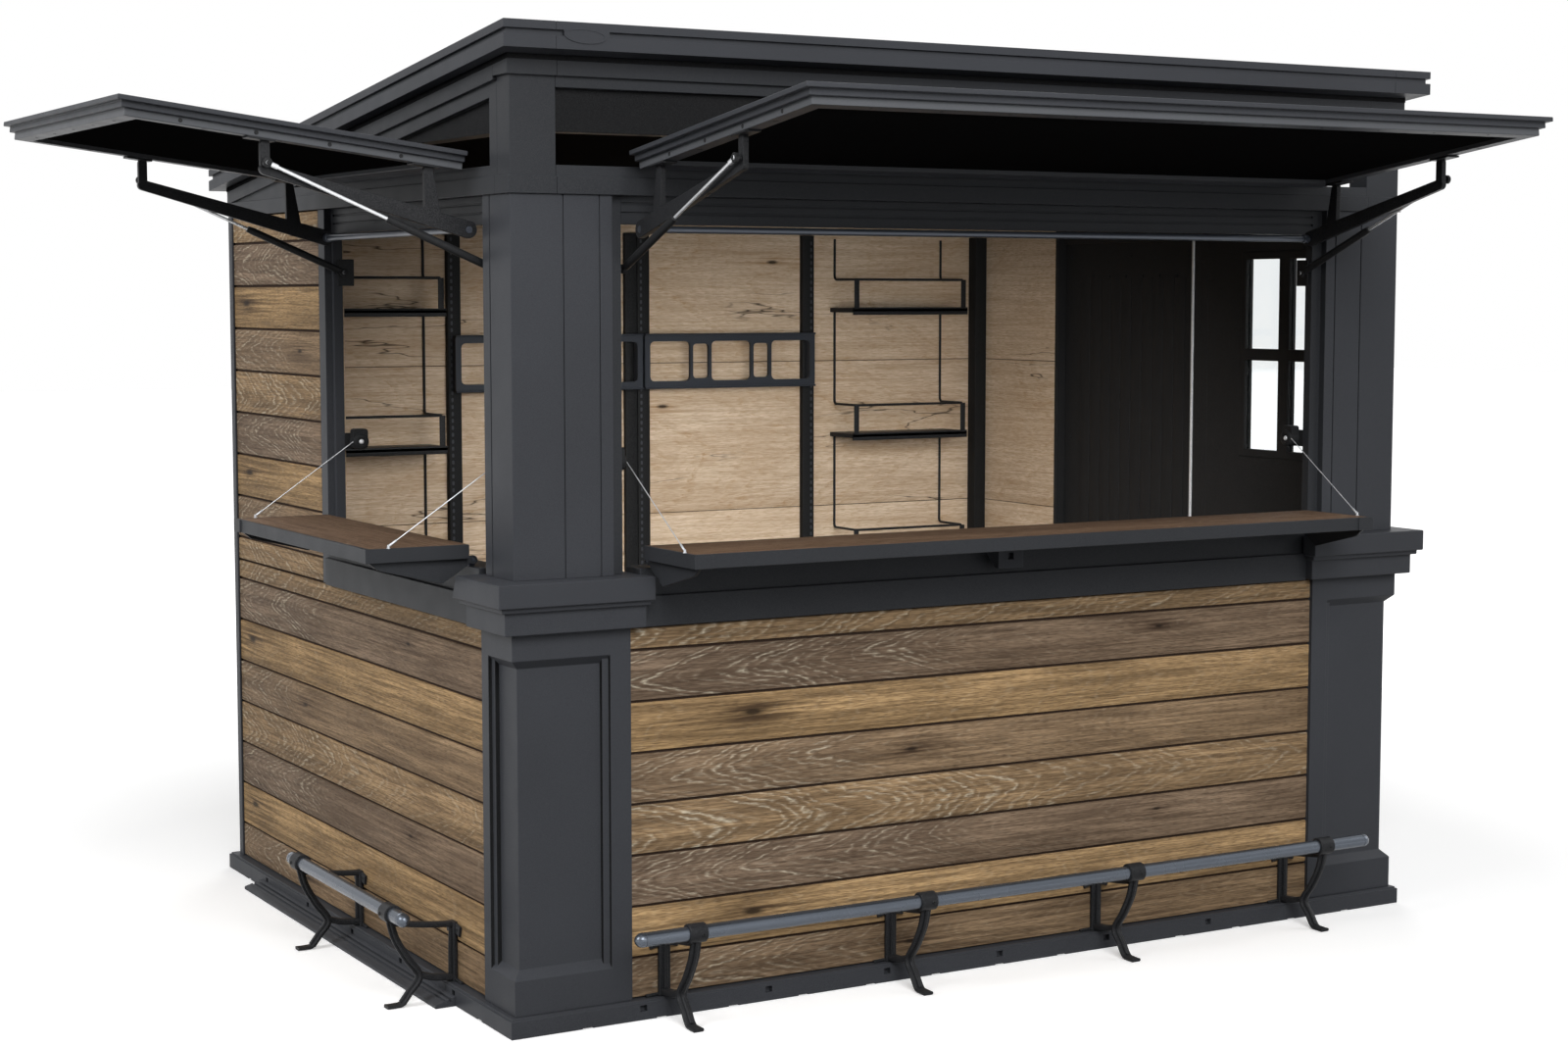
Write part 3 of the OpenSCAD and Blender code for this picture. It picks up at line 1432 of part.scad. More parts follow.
base_floor();
left_ledge();
front_siding();
left_siding();
left_rear_siding();
back_wall();
right_rear_wall();
right_front_wall();
right_over_door();
back_corner_trims();
door_frame();
door_leaf();
door_hinges();
door_handle();
window_frame();
window_glass();
pedestals();
caps();
columns();
left_rear_post();
front_sill();
left_sill();
counter_catches();
front_header();
left_header();
right_header();
back_header();
lower_headers();
roof();
front_flap();
left_flap();
flap_arms();
hub_bars();
strut_cylinders();
strut_rods();
strut_brackets();
front_counter();
front_counter_board();
left_counter();
left_counter_board();
counter_hinges();
cable_reels();
front_cables();
left_cables();
foot_rails();
rail_brackets();
shelf_uprights();
wire_shelves();
glass_rack();
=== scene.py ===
"""Looks of a street kiosk: boards, oak lining, satin resin, steel rails and their small fittings."""

import math

import bmesh
import bpy
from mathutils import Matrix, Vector


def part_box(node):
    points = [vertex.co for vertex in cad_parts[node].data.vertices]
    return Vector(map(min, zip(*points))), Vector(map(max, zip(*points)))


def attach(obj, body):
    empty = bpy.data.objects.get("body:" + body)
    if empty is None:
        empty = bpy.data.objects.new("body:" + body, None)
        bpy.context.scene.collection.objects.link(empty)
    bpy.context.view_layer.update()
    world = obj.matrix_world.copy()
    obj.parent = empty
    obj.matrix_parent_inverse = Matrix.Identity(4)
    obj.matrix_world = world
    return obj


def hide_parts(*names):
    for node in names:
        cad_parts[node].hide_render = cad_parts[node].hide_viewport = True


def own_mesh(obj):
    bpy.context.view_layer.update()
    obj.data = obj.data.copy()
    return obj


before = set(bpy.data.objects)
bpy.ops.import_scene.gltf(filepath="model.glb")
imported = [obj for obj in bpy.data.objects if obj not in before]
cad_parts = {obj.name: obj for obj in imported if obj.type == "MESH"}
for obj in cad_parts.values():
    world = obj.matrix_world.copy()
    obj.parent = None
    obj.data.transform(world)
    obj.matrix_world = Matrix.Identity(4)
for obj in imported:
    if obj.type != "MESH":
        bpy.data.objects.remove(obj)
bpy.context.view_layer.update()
scene = bpy.context.scene

MM = 0.001
WIDTH, DEPTH = 2700, 2070
BASE = Vector((WIDTH / 2, DEPTH / 2, 0))
RIGHT, BACK, UP = Vector((1, 0, 0)), Vector((0, 1, 0)), Vector((0, 0, 1))


def at(x, y, z):
    """A point given in millimetres from the front left corner of the base, in the shared frame."""
    return (Vector((x, y, z)) - BASE) * MM


def at_left(x, y, z):
    """A point drawn for the front wall, turned to the left wall."""
    return at(y, x, z)


def towards(place, x, y, z):
    """The direction of a step that one of these point functions draws."""
    return (place(x, y, z) - place(0, 0, 0)).normalized()


def colour(code, share=1.0):
    """A colour written as six hex digits, in linear light, or a darker share of it."""
    parts = [int(code[i:i + 2], 16) / 255 for i in (0, 2, 4)]
    linear = [c / 12.92 if c <= 0.04045 else ((c + 0.055) / 1.055) ** 2.4 for c in parts]
    return tuple(share * c for c in linear) + (1,)


# Materials


class Finish:
    """A node material and short ways to add nodes to it."""

    def __init__(self, name, **settings):
        self.material = bpy.data.materials.new(name)
        self.material.use_nodes = True
        self.tree = self.material.node_tree
        self.shader = self.tree.nodes["Principled BSDF"]
        self.put(self.shader, {key.replace("_", " "): value for key, value in settings.items()})

    def put(self, node, inputs):
        for key, value in inputs.items():
            socket = node.inputs[key]
            if isinstance(value, bpy.types.NodeSocket):
                self.tree.links.new(value, socket)
            else:
                socket.default_value = value

    def node(self, kind, inputs, **settings):
        made = self.tree.nodes.new("ShaderNode" + kind)
        for key, value in settings.items():
            setattr(made, key, value)
        self.put(made, inputs)
        return made

    def math(self, operation, *values):
        return self.node("Math", dict(enumerate(values)), operation=operation).outputs[0]

    def product(self, *values):
        total = values[0]
        for value in values[1:]:
            total = self.math("MULTIPLY", total, value)
        return total

    def split(self, vector):
        return self.node("SeparateXYZ", {0: vector}).outputs[:3]

    def attribute(self, name):
        return self.split(self.node("Attribute", {}, attribute_name=name).outputs["Vector"])

    def position(self):
        return self.node("TexCoord", {}).outputs["Object"]

    def noise(self, vector, scale=1.0, detail=2.0, rough=0.5):
        made = self.node("TexNoise", {"Vector": vector, "Scale": scale, "Detail": detail,
                                      "Roughness": rough})
        return made.outputs["Fac"]

    def stretched(self, parts, factors, detail=2.0):
        scaled = [self.math("MULTIPLY", part, factor) for part, factor in zip(parts, factors)]
        return self.noise(self.node("CombineXYZ", dict(enumerate(scaled))).outputs[0], 1.0, detail)

    def sway(self, parts, factors, amount, detail=2.0):
        """Noise about zero."""
        return self.product(self.math("SUBTRACT", self.stretched(parts, factors, detail), 0.5), amount)

    def ramp(self, factor, stops):
        made = self.node("ValToRGB", {"Fac": factor})
        points = made.color_ramp.elements
        while len(points) < len(stops):
            points.new(0.5)
        for point, (place, value) in zip(points, stops):
            point.position = place
            point.color = (value, value, value, 1)
        return made.outputs["Color"]

    def mix(self, factor, first, second):
        made = self.node("Mix", {0: factor, 6: first, 7: second}, data_type="RGBA")
        return made.outputs[2]

    def range(self, value, low, high, start=0.0, end=1.0):
        return self.node("MapRange", {"Value": value, "From Min": start, "From Max": end,
                                      "To Min": low, "To Max": high}).outputs[0]

    def bump(self, height, distance, strength=1.0):
        made = self.node("Bump", {"Height": height, "Distance": distance, "Strength": strength})
        self.put(self.shader, {"Normal": made.outputs[0]})


def wood(name, dull, warm, line, dark, pitch, gloom_share, grit=1.0, crack=0.0):
    """Sawn wood whose arches, pores and knots follow the grain that each board carries."""
    made = Finish(name)
    along, across, seed = grain = made.attribute("grain")
    crest, bend, lines = made.attribute("arch")
    knot_along, knot_across, knot_size = made.attribute("knot")
    tone = made.node("Attribute", {}, attribute_name="tone").outputs["Fac"]
    side = made.math("ADD", crest, made.sway((along, seed, seed), (2.1, 7.1, 3.7), 0.03, 1))
    limb = made.math("SQRT", made.math("MULTIPLY_ADD", side, side, 0.00008))
    arch = made.math("MULTIPLY_ADD", limb, bend, along)
    flat = made.math("MULTIPLY", knot_along, 0.3)
    away = made.math("SQRT", made.math("MULTIPLY_ADD", flat, flat,
                                       made.math("MULTIPLY", knot_across, knot_across)))
    near = made.math("DIVIDE", away, made.math("MAXIMUM", knot_size, 0.0001))
    phase = made.math("DIVIDE", arch, pitch)
    for shift in (made.sway(grain, (3.4, 6, 3), 5.5, 1), made.sway(grain, (24, 70, 1), 1.5)):
        phase = made.math("ADD", phase, shift)
    turn = made.math("FRACT", phase)
    ring = made.ramp(turn, [(0.0, 0.0), (0.22, 0.05), (0.5, 1.0), (0.62, 0.35), (0.85, 0.0)])
    gloom = made.ramp(turn, [(0.0, 0.7), (0.25, 0.0), (0.55, 0.0), (0.75, 1.0), (1.0, 0.7)])
    chance = made.node("TexWhiteNoise", {"W": made.math("ADD", made.math("FLOOR", phase), seed)},
                       noise_dimensions="1D").outputs["Value"]
    dash = made.range(made.stretched(grain, (22, 150, 1), 3), -0.15, 1.2, 0.36, 0.64)
    streak = made.stretched(grain, (4, 130, 1), 4)
    fibre = made.stretched(grain, (9, 420, 1), 2)
    band = made.stretched(grain, (1.6, 34, 3), 3)
    cloud = made.stretched(grain, (2.6, 9, 4), 2)
    pores = made.ramp(made.stretched(grain, (40, 900, 1), 0), [(0.55, 0.0), (0.66, 1.0)])
    base = made.mix(tone, dull, warm)
    deep = made.mix(0.75, base, dark)
    for noise, amount, low, high in ((cloud, 0.5, 0.4, 0.68), (band, 0.7, 0.46, 0.68),
                                     (streak, 0.8, 0.45, 0.66), (fibre, 0.7, 0.45, 0.7)):
        base = made.mix(made.range(noise, 0.0, amount * grit, low, high), base, deep)
    base = made.mix(made.product(gloom, lines, chance, gloom_share), base, deep)
    base = made.mix(made.product(ring, dash, lines, made.range(chance, 0.05, 1.1)), base, line)
    base = made.mix(made.product(pores, 0.45), base, dark)
    flame = made.product(made.ramp(near, [(0.2, 0.8), (0.45, 0.35), (1.0, 0.0)]),
                         made.range(streak, 0.1, 1.0, 0.35, 0.6))
    base = made.mix(flame, base, dark)
    base = made.mix(made.ramp(near, [(0.06, 0.9), (0.16, 0.0)]), base, colour("1d140d"))
    if crack:
        field = made.stretched(grain, (1.3, 11, 6), 4)
        thin = made.ramp(made.math("ABSOLUTE", made.math("SUBTRACT", field, 0.5)),
                         [(0.0, 1.0), (0.008, 0.0)])
        some = made.ramp(made.stretched(grain, (1.1, 3.2, 9), 1), [(0.53, 0.0), (0.58, 1.0)])
        base = made.mix(made.product(thin, some, crack), base, colour("2c2018"))
    made.put(made.shader, {"Base Color": base, "Roughness": made.range(streak, 0.5, 0.72),
                           "Specular IOR Level": 0.1})
    made.bump(made.math("SUBTRACT", made.product(streak, 0.7), pores), 0.0006, 0.6)
    return made.material


def satin(name, code, rough=0.42, grain=900, depth=0.00012, shine=0.08):
    """Moulded or painted surface with fine texture and a little unevenness."""
    made = Finish(name, Specular_IOR_Level=shine)
    place = made.position()
    cloud = made.noise(place, 2.3, 3)
    speck = made.noise(place, grain, 2, 0.6)
    tone = made.mix(made.range(cloud, -0.4, 1.2), colour(code), colour(code, 0.75))
    made.put(made.shader, {"Base Color": made.mix(made.range(speck, -0.2, 0.4), tone,
                                                  made.mix(0.12, tone, (1, 1, 1, 1))),
                           "Roughness": made.range(made.noise(place, 14, 4), rough - 0.08,
                                                   rough + 0.1)})
    made.bump(speck, depth, 0.5)
    return made.material


def brushed(name, code, rough=0.3, metal=1.0):
    """Metal with fine drawn lines along its length."""
    made = Finish(name, Metallic=metal)
    lines = made.stretched(made.split(made.position()), (18, 18, 900), 3)
    stain = made.noise(made.position(), 9, 3)
    made.put(made.shader, {"Base Color": made.mix(made.range(lines, -0.3, 0.9), colour(code),
                                                  colour(code, 0.65)),
                           "Roughness": made.range(stain, rough - 0.1, rough + 0.15)})
    made.bump(lines, 0.00005, 0.4)
    return made.material


def clear_glass(name):
    """Window glass with a little haze."""
    made = Finish(name, Transmission_Weight=1.0, IOR=1.45, Base_Color=colour("f4f8f9"))
    haze = made.noise(made.position(), 6, 3)
    made.put(made.shader, {"Roughness": made.range(haze, 0.0, 0.06)})
    return made.material


RESIN = satin("anthracite_resin", "36383d")
# Paler resin for the lowest step of the flap edges: a painted highlight where that step catches the
# light.
RESIN_PAINTED_HIGHLIGHT = satin("flap_edge_painted_highlight", "54565a")
# Darker resin for headers, sills, counter edges and column rebates: painted shade under the roof, the
# flaps and the counters.
RESIN_PAINTED_HALF_SHADE = satin("header_resin_painted_shade", "292b2f")
# Near-black resin for the sunk frieze panels and the step walls round the pedestal panels: painted shade
# in those recesses.
RESIN_PAINTED_FULL_SHADE = satin("frieze_resin_painted_shade", "0d0e10", 0.6, shine=0.02)
# Near-black resin for the door, its frame, the right wall and the window frame: painted shade on that
# side of the kiosk.
RESIN_PAINTED_DEEP_SHADE = satin("deep_resin_painted_shade", "131314", 0.55, shine=0.1)
# Black, unshining sheet material: painted shade under the roof, under the flaps and under the roof edge.
PAINTED_SHADE_BLACK = satin("shaded_sheet", "131315", 0.9, shine=0.0)
SIDING = wood("weathered_boards", colour("97816c"), colour("d0ac7c"), colour("d8ccb4"),
              colour("33241a"), 0.045, 0.8)
OAK = wood("pale_oak", colour("dcc8b0"), colour("e2cfb6"), colour("b0916d"), colour("9b7a55"),
           0.06, 0.5, 0.6, 0.9)
COUNTER = wood("counter_oak", colour("78614f"), colour("886d57"), colour("98806a"),
               colour("3a2a1e"), 0.07, 0.4)
JOINT = satin("joint_shadow", "2a190b", 0.8)
STEEL = brushed("rail_steel", "5a6069", 0.25, 0.7)
DARK_STEEL = brushed("dark_steel", "454a53", 0.36, 0.5)
# Chrome and cable steel: pale metal, given pale bases and little metal so that part of their brightness
# is painted reflection.
CHROME = brushed("chrome_and_painted_reflection", "eef0f3", 0.2, 0.35)
CABLE = brushed("cable_steel", "d2d5d9", 0.3, 0.4)
# Pale, nearly plain surface for a strip by the door: painted light seen through the gap beside the door.
PAINTED_GAP_LIGHT = brushed("door_gap_painted_light", "e2e4e6", 0.4, 0.2)
BLACK = satin("black_coat", "17181a", 0.4)
UPRIGHT = satin("upright_coat", "0b0c0d", 0.5, shine=0.06)
CAST = satin("black_casting", "1b1c1f", 0.38, 420, 0.0003)
GLASS = clear_glass("clear_glass")

# Shapes


def slab(width, height, corner, steps=3):
    """Outline of a rectangle with round corners."""
    corner = min(corner, width / 2, height / 2)
    outline = []
    for turn, (x, y) in enumerate(((1, 1), (-1, 1), (-1, -1), (1, -1))):
        for step in range(steps + 1):
            angle = math.pi / 2 * (turn + step / steps)
            outline.append((x * (width / 2 - corner) + corner * math.cos(angle),
                            y * (height / 2 - corner) + corner * math.sin(angle)))
    return outline


def circle(radius, sides=12):
    return [(radius * math.cos(2 * math.pi * i / sides), radius * math.sin(2 * math.pi * i / sides))
            for i in range(sides)]


def skin(shape, rings):
    """Joins rings of points with faces and closes the two ends."""
    loops = [[shape.verts.new(point) for point in ring] for ring in rings]
    count = len(loops[0])
    for first, second in zip(loops, loops[1:]):
        for i in range(count):
            j = (i + 1) % count
            shape.faces.new((first[i], first[j], second[j], second[i]))
    shape.faces.new(loops[0][::-1])
    shape.faces.new(loops[-1])


def square_to(way):
    """A direction at a right angle to another."""
    return way.cross(UP if abs(way.z) < 0.9 else RIGHT).normalized()


def sweep(shape, path, outline, side=None):
    """Draws an outline along a path, with its width kept near one side."""
    last = len(path) - 1
    rings = []
    for i, point in enumerate(path):
        heading = (path[min(i + 1, last)] - path[max(i - 1, 0)]).normalized()
        side = square_to(heading) if side is None else side
        side = (side - heading * side.dot(heading)).normalized()
        rise = heading.cross(side)
        rings.append([point + side * a + rise * b for a, b in outline])
    skin(shape, rings)


def turned(shape, start, way, profile, sides=24):
    """A turned form with a radius at each distance along a line."""
    way = way.normalized()
    side = square_to(way)
    rise = way.cross(side)
    skin(shape, [[start + way * along + side * a + rise * b for a, b in circle(radius, sides)]
                 for along, radius in profile])


def rounded(points, radius, steps=5):
    """A path through points with rounded corners."""
    path = [points[0]]
    for before, here, after in zip(points, points[1:], points[2:]):
        reach = min(radius, (before - here).length / 2, (after - here).length / 2)
        first = here + (before - here).normalized() * reach
        second = here + (after - here).normalized() * reach
        path += [first * (1 - t) ** 2 + here * 2 * t * (1 - t) + second * t ** 2
                 for t in (i / steps for i in range(steps + 1))]
    return path + [points[-1]]


def flowing(points, steps=6):
    """A smooth path through points."""
    ends = [points[0]] + points + [points[-1]]
    path = []
    for a, b, c, d in zip(ends, ends[1:], ends[2:], ends[3:]):
        for t in (i / steps for i in range(steps)):
            path.append((b * 2 + (c - a) * t + (a * 2 - b * 5 + c * 4 - d) * t ** 2
                         + (b * 3 - a - c * 3 + d) * t ** 3) / 2)
    return path + [points[-1]]


def pierced(shape, outline, holes, depth):
    """A plate of an outline with holes, drawn out by a depth."""
    edges = []
    for loop in [outline] + holes:
        verts = [shape.verts.new(point) for point in loop]
        edges += [shape.edges.new((a, b)) for a, b in zip(verts, verts[1:] + verts[:1])]
    filled = bmesh.ops.triangle_fill(shape, use_beauty=True, edges=edges)["geom"]
    faces = [part for part in filled if isinstance(part, bmesh.types.BMFace)]
    drawn = bmesh.ops.extrude_face_region(shape, geom=faces, use_keep_orig=True)["geom"]
    bmesh.ops.translate(shape, vec=depth, verts=[v for v in drawn if isinstance(v, bmesh.types.BMVert)])


def screw(shape, place, way, radius):
    """A domed screw head with a socket."""
    turned(shape, place, way, [(0, radius), (radius * 0.3, radius * 0.94), (radius * 0.55, radius * 0.6),
                               (radius * 0.56, radius * 0.42), (radius * 0.2, radius * 0.36)], 12)


def piece(name, shape, material, body="building", replaces=()):
    """Makes a mesh object of a shape, which rides on a body."""
    bmesh.ops.recalc_face_normals(shape, faces=shape.faces)
    mesh = bpy.data.meshes.new(name)
    shape.to_mesh(mesh)
    shape.free()
    mesh.materials.append(material)
    for polygon in mesh.polygons:
        polygon.use_smooth = True
    mesh.set_sharp_from_angle(angle=math.radians(35))
    made = bpy.data.objects.new(name, mesh)
    scene.collection.objects.link(made)
    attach(made, body)
    if replaces:
        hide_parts(*replaces)
    return made


def dressed(node, material, width, body="building", limit=28):
    """A copy of a CAD node with softened edges, which stands for it."""
    shape = bmesh.new()
    shape.from_mesh(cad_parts[node].data)
    bmesh.ops.remove_doubles(shape, verts=shape.verts, dist=1e-5)
    bmesh.ops.dissolve_limit(shape, angle_limit=math.radians(0.5), verts=shape.verts,
                             edges=shape.edges)
    sharp = [edge for edge in shape.edges if len(edge.link_faces) == 2
             and edge.calc_face_angle() > math.radians(limit)]
    bmesh.ops.bevel(shape, geom=sharp, offset=width * MM, offset_type="OFFSET", segments=2,
                    profile=0.5, affect="EDGES", clamp_overlap=False)
    made = piece(node + "_dressed", shape, material, body, (node,))
    made.modifiers.new("even_normals", "WEIGHTED_NORMAL").keep_sharp = True
    return made.data


# Walls


def level(stops, run):
    """Values between the stops along a board."""
    for first, second in zip(stops, stops[1:]):
        if run <= second[0]:
            share = (run - first[0]) / (second[0] - first[0])
            return [a + (b - a) * share for a, b in zip(first[1:], second[1:])]
    return stops[-1][1:]


class Boards:
    """Boards with rounded edges that carry the grain they show."""

    def __init__(self):
        self.shape = bmesh.new()
        layers = self.shape.verts.layers
        self.grain, self.arch, self.knot = (layers.float_vector.new(name)
                                            for name in ("grain", "arch", "knot"))
        self.tone = layers.float.new("tone")

    def add(self, start, end, across, out, width, thickness, edge, figure):
        """A board from start to end, the middle of its face, with its width across."""
        half, depth = width / 2, thickness
        profile = [(-half, depth), (-half, edge), (-half + edge * 0.3, edge * 0.3),
                   (-half + edge, 0), (half - edge, 0), (half - edge * 0.3, edge * 0.3),
                   (half, edge), (half, depth)]
        length = (end - start).length
        origin = figure.get("origin", 0.0)
        knot = figure.get("knot", (9, 9, 0))
        inside = [stop[0] - origin for stop in figure["stops"] if 0 < stop[0] - origin < length]
        rings = []
        for run in [0.0] + inside + [length]:
            lines, crest, tone = level(figure["stops"], run + origin)
            ring = []
            for offset, sunk in profile:
                vert = self.shape.verts.new(start.lerp(end, run / length) + across * offset - out * sunk)
                v = offset + math.copysign(sunk, offset) + figure.get("shift", 0.0)
                vert[self.grain] = (run + origin, v, figure["seed"])
                vert[self.arch] = (v - crest, figure["bend"], lines)
                vert[self.knot] = (run + origin - knot[0], v - knot[1], knot[2])
                vert[self.tone] = tone
                ring.append(vert)
            rings.append(ring)
        count = len(profile)
        for first, second in zip(rings, rings[1:]):
            for i in range(count):
                j = (i + 1) % count
                self.shape.faces.new((first[i], first[j], second[j], second[i]))
        self.shape.faces.new(rings[0])
        self.shape.faces.new(rings[-1])

    def done(self, name, material, replaces=(), body="building", slot=None):
        return piece(name, self.shape, material, body, replaces)


# Four board figures: bend of the arches, and line strength, crest and tone at stops along the board
FIGURES = {
    "A": {"bend": 2.6,
          "stops": [(0.0, 0.75, -0.024, 0.55), (0.9, 0.85, 0.0, 0.6), (1.3, 0.55, 0.008, 0.6),
                    (2.6, 0.4, 0.012, 0.66)]},
    "B": {"bend": -3.8, "knot": (1.55, 0.02, 0.034),
          "stops": [(0.0, 0.7, -0.008, 0.0), (0.7, 0.8, 0.022, 0.02), (0.95, 0.12, 0.025, 0.06),
                    (2.6, 0.08, 0.03, 0.1)]},
    "C": {"bend": 1.5, "knot": (0.33, 0.012, 0.075),
          "stops": [(0.0, 0.12, 0.03, 1.0), (2.6, 0.15, 0.0, 0.9)]},
    "D": {"bend": -3.4, "knot": (0.78, 0.004, 0.045),
          "stops": [(0.0, 0.75, -0.014, 0.2), (0.55, 0.75, 0.016, 0.22), (0.72, 0.12, 0.02, 0.32),
                    (2.6, 0.08, 0.03, 0.45)]},
}
FIGURE_ORDER = "ADCB"
BOARD_PITCH, BOARD_JOINT = 121.4, 872.5


def clad(boards, start, end, out, low, high, seed, origin):
    """Boards one above the other on a wall, in the order of the four figures."""
    first = math.floor((low - BOARD_JOINT) / BOARD_PITCH)
    last = math.ceil((high - BOARD_JOINT) / BOARD_PITCH)
    gap, narrowest, thickness, edge = 6.4, 12, 18, 2.6
    for index in range(first, last):
        below = max(BOARD_JOINT + index * BOARD_PITCH, low)
        above = min(BOARD_JOINT + (index + 1) * BOARD_PITCH, high)
        if above - below < narrowest:
            continue
        middle = (below + above) / 2
        whole = BOARD_JOINT + (index + 0.5) * BOARD_PITCH
        figure = dict(FIGURES[FIGURE_ORDER[index % 4]], seed=seed + 0.37 * index, origin=origin,
                      shift=(middle - whole) * MM)
        rise = UP * middle * MM
        boards.add(start + rise, end + rise, UP, out, (above - below - gap) * MM, thickness * MM,
                   edge * MM, figure)


def panels(boards, start, end, out, levels, seed):
    """Broad oak panels between seams on the inside of a wall."""
    gap, thickness, edge = 2.0, 8, 1.2
    for index, (low, high) in enumerate(zip(levels, levels[1:])):
        crest = 0.06 * (-1) ** index
        figure = {"bend": 1.6 * (-1) ** index, "seed": seed + 1.7 * index,
                  "knot": (0.5 + 0.4 * index, 0.1, 0.05),
                  "stops": [(0.0, 0.6, crest, 0.3), (1.3, 0.8, -crest, 0.6), (2.6, 0.6, crest, 0.4)]}
        rise = UP * (low + high) / 2 * MM
        boards.add(start + rise, end + rise, UP, out, (high - low - gap) * MM, thickness * MM,
                   edge * MM, figure)


SEAMS, NARROWEST_PANEL = [534, 1009, 1484], 60
WALLS = {
    "front_siding": (at(317, 27, 0), at(2383, 27, 0), -BACK, 46, 927, 1.0, 0.0),
    "left_siding": (at(27, 2027, 0), at(27, 193, 0), -RIGHT, 46, 927, 4.0, 0.2),
    "left_rear_siding": (at(27, 2027, 0), at(27, 1288, 0), -RIGHT, 927, 1923, 4.0, 0.2),
    "back_wall": (at(2603, 2027, 0), at(97, 2027, 0), BACK, 46, 1923, 7.0, 0.0),
    "right_rear_wall": (at(2673, 1520, 0), at(2673, 2027, 0), RIGHT, 46, 1923, 9.0, 0.5),
}
WALL_DEPTH, CORE_FRONT, CORE_BACK = 70, 5.5, 66
for node, (start, end, out, low, high, seed, origin) in WALLS.items():
    outer = Boards()
    clad(outer, start, end, out, low, high, seed, origin)
    outer.done(node + "_boards", SIDING, (node,), slot="siding_wood")
    inner = Boards()
    seams = [seam for seam in SEAMS if low + NARROWEST_PANEL < seam < high - NARROWEST_PANEL]
    depth = out * WALL_DEPTH * MM
    panels(inner, end - depth, start - depth, -out, [low] + seams + [high], seed + 11)
    inner.done(node + "_lining", OAK)
    core = bmesh.new()
    middle = UP * (low + high) / 2 * MM - out * (CORE_FRONT + CORE_BACK) / 2 * MM
    sweep(core, [start + middle, end + middle],
          slab((CORE_BACK - CORE_FRONT) * MM, (high - low - 2) * MM, MM), out)
    piece(node + "_core", core, JOINT)

# Carried-over solids with softened edges

SOFT = {
    "base_floor": 1.0, "left_ledge": 1.0, "pedestals": 1.6, "caps": 2.6, "columns": 1.2,
    "left_rear_post": 1.5, "counter_catches": 2.0, "roof": 0.7, "back_corner_trims": 1.2,
}
# Parts given the darker resin as painted shade, with the width of their softened edges.
HEADERS = {
    "front_header": 1.5, "left_header": 1.5, "right_header": 1.5, "back_header": 1.5,
    "lower_headers": 1.0, "front_sill": 2.5, "left_sill": 2.5,
}
# Door-side parts given the near-black resin as painted shade.
SHADED = {"door_frame": 1.5, "right_front_wall": 1.5, "right_over_door": 1.5, "window_frame": 2.0}
FRIEZE_DEPTH = 37
FRIEZES = {
    "front_header": (at(0, FRIEZE_DEPTH, 0), BACK),
    "left_header": (at(FRIEZE_DEPTH, 0, 0), RIGHT),
    "right_header": (at(WIDTH - FRIEZE_DEPTH, 0, 0), -RIGHT),
}
SUNK_DEPTH, SUNK_HEIGHT = (18, 37), (130, 868)


def shade(mesh, material, *planes):
    """Gives the outward faces that lie behind a plane a material of their own, a darker one that paints
    the shade in that recess.
    """
    mesh.materials.append(material)
    for polygon in mesh.polygons:
        for plane, inward in planes:
            if polygon.normal.dot(inward) < -0.9 and (polygon.center - plane).dot(inward) > 0:
                polygon.material_index = 1


def shade_steps(mesh, material):
    """Gives the walls round the sunk panels of the pedestals a material of their own, the darkest resin,
    which paints the shade in those steps.
    """
    mesh.materials.append(material)
    for polygon in mesh.polygons:
        x, y, z = polygon.center / MM + BASE
        front, left, right = (SUNK_DEPTH[0] < depth < SUNK_DEPTH[1] for depth in (y, x, WIDTH - x))
        if SUNK_HEIGHT[0] < z < SUNK_HEIGHT[1] and (abs(polygon.normal.x) > 0.9 and front or
                                                    abs(polygon.normal.y) > 0.9 and (left or right)):
            polygon.material_index = 1


for node, width in SOFT.items():
    mesh = dressed(node, RESIN, width)
    if node == "columns":
        # The rebate faces of the columns get the darker resin, painted shade in the rebate.
        shade(mesh, RESIN_PAINTED_HALF_SHADE, FRIEZES["front_header"], FRIEZES["left_header"])
    if node == "pedestals":
        # The step walls of the pedestal panels get the darkest resin, painted shade.
        shade_steps(mesh, RESIN_PAINTED_FULL_SHADE)
for node, width in HEADERS.items():
    mesh = dressed(node, RESIN_PAINTED_HALF_SHADE, width)
    # The sunk frieze panels get the near-black resin, painted shade under the roof edge.
    if node in FRIEZES:
        shade(mesh, RESIN_PAINTED_FULL_SHADE, FRIEZES[node])
for node, width in SHADED.items():
    dressed(node, RESIN_PAINTED_DEEP_SHADE, width)
# The counter edges get the darker resin, painted shade.
dressed("front_counter", RESIN_PAINTED_HALF_SHADE, 1.2, "front_shelf")
dressed("left_counter", RESIN_PAINTED_HALF_SHADE, 1.2, "left_shelf")
dressed("door_leaf", RESIN_PAINTED_DEEP_SHADE, 1.0, "door")
dressed("flap_arms", CAST, 1.2)
dressed("strut_brackets", BLACK, 0.8)
dressed("counter_hinges", DARK_STEEL, 0.6)
dressed("door_hinges", DARK_STEEL, 0.5)

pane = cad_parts["window_glass"].data
pane.materials.clear()
pane.materials.append(GLASS)

# Black sheet under the roof: painted shade, so that the slot under the roof edge shows black

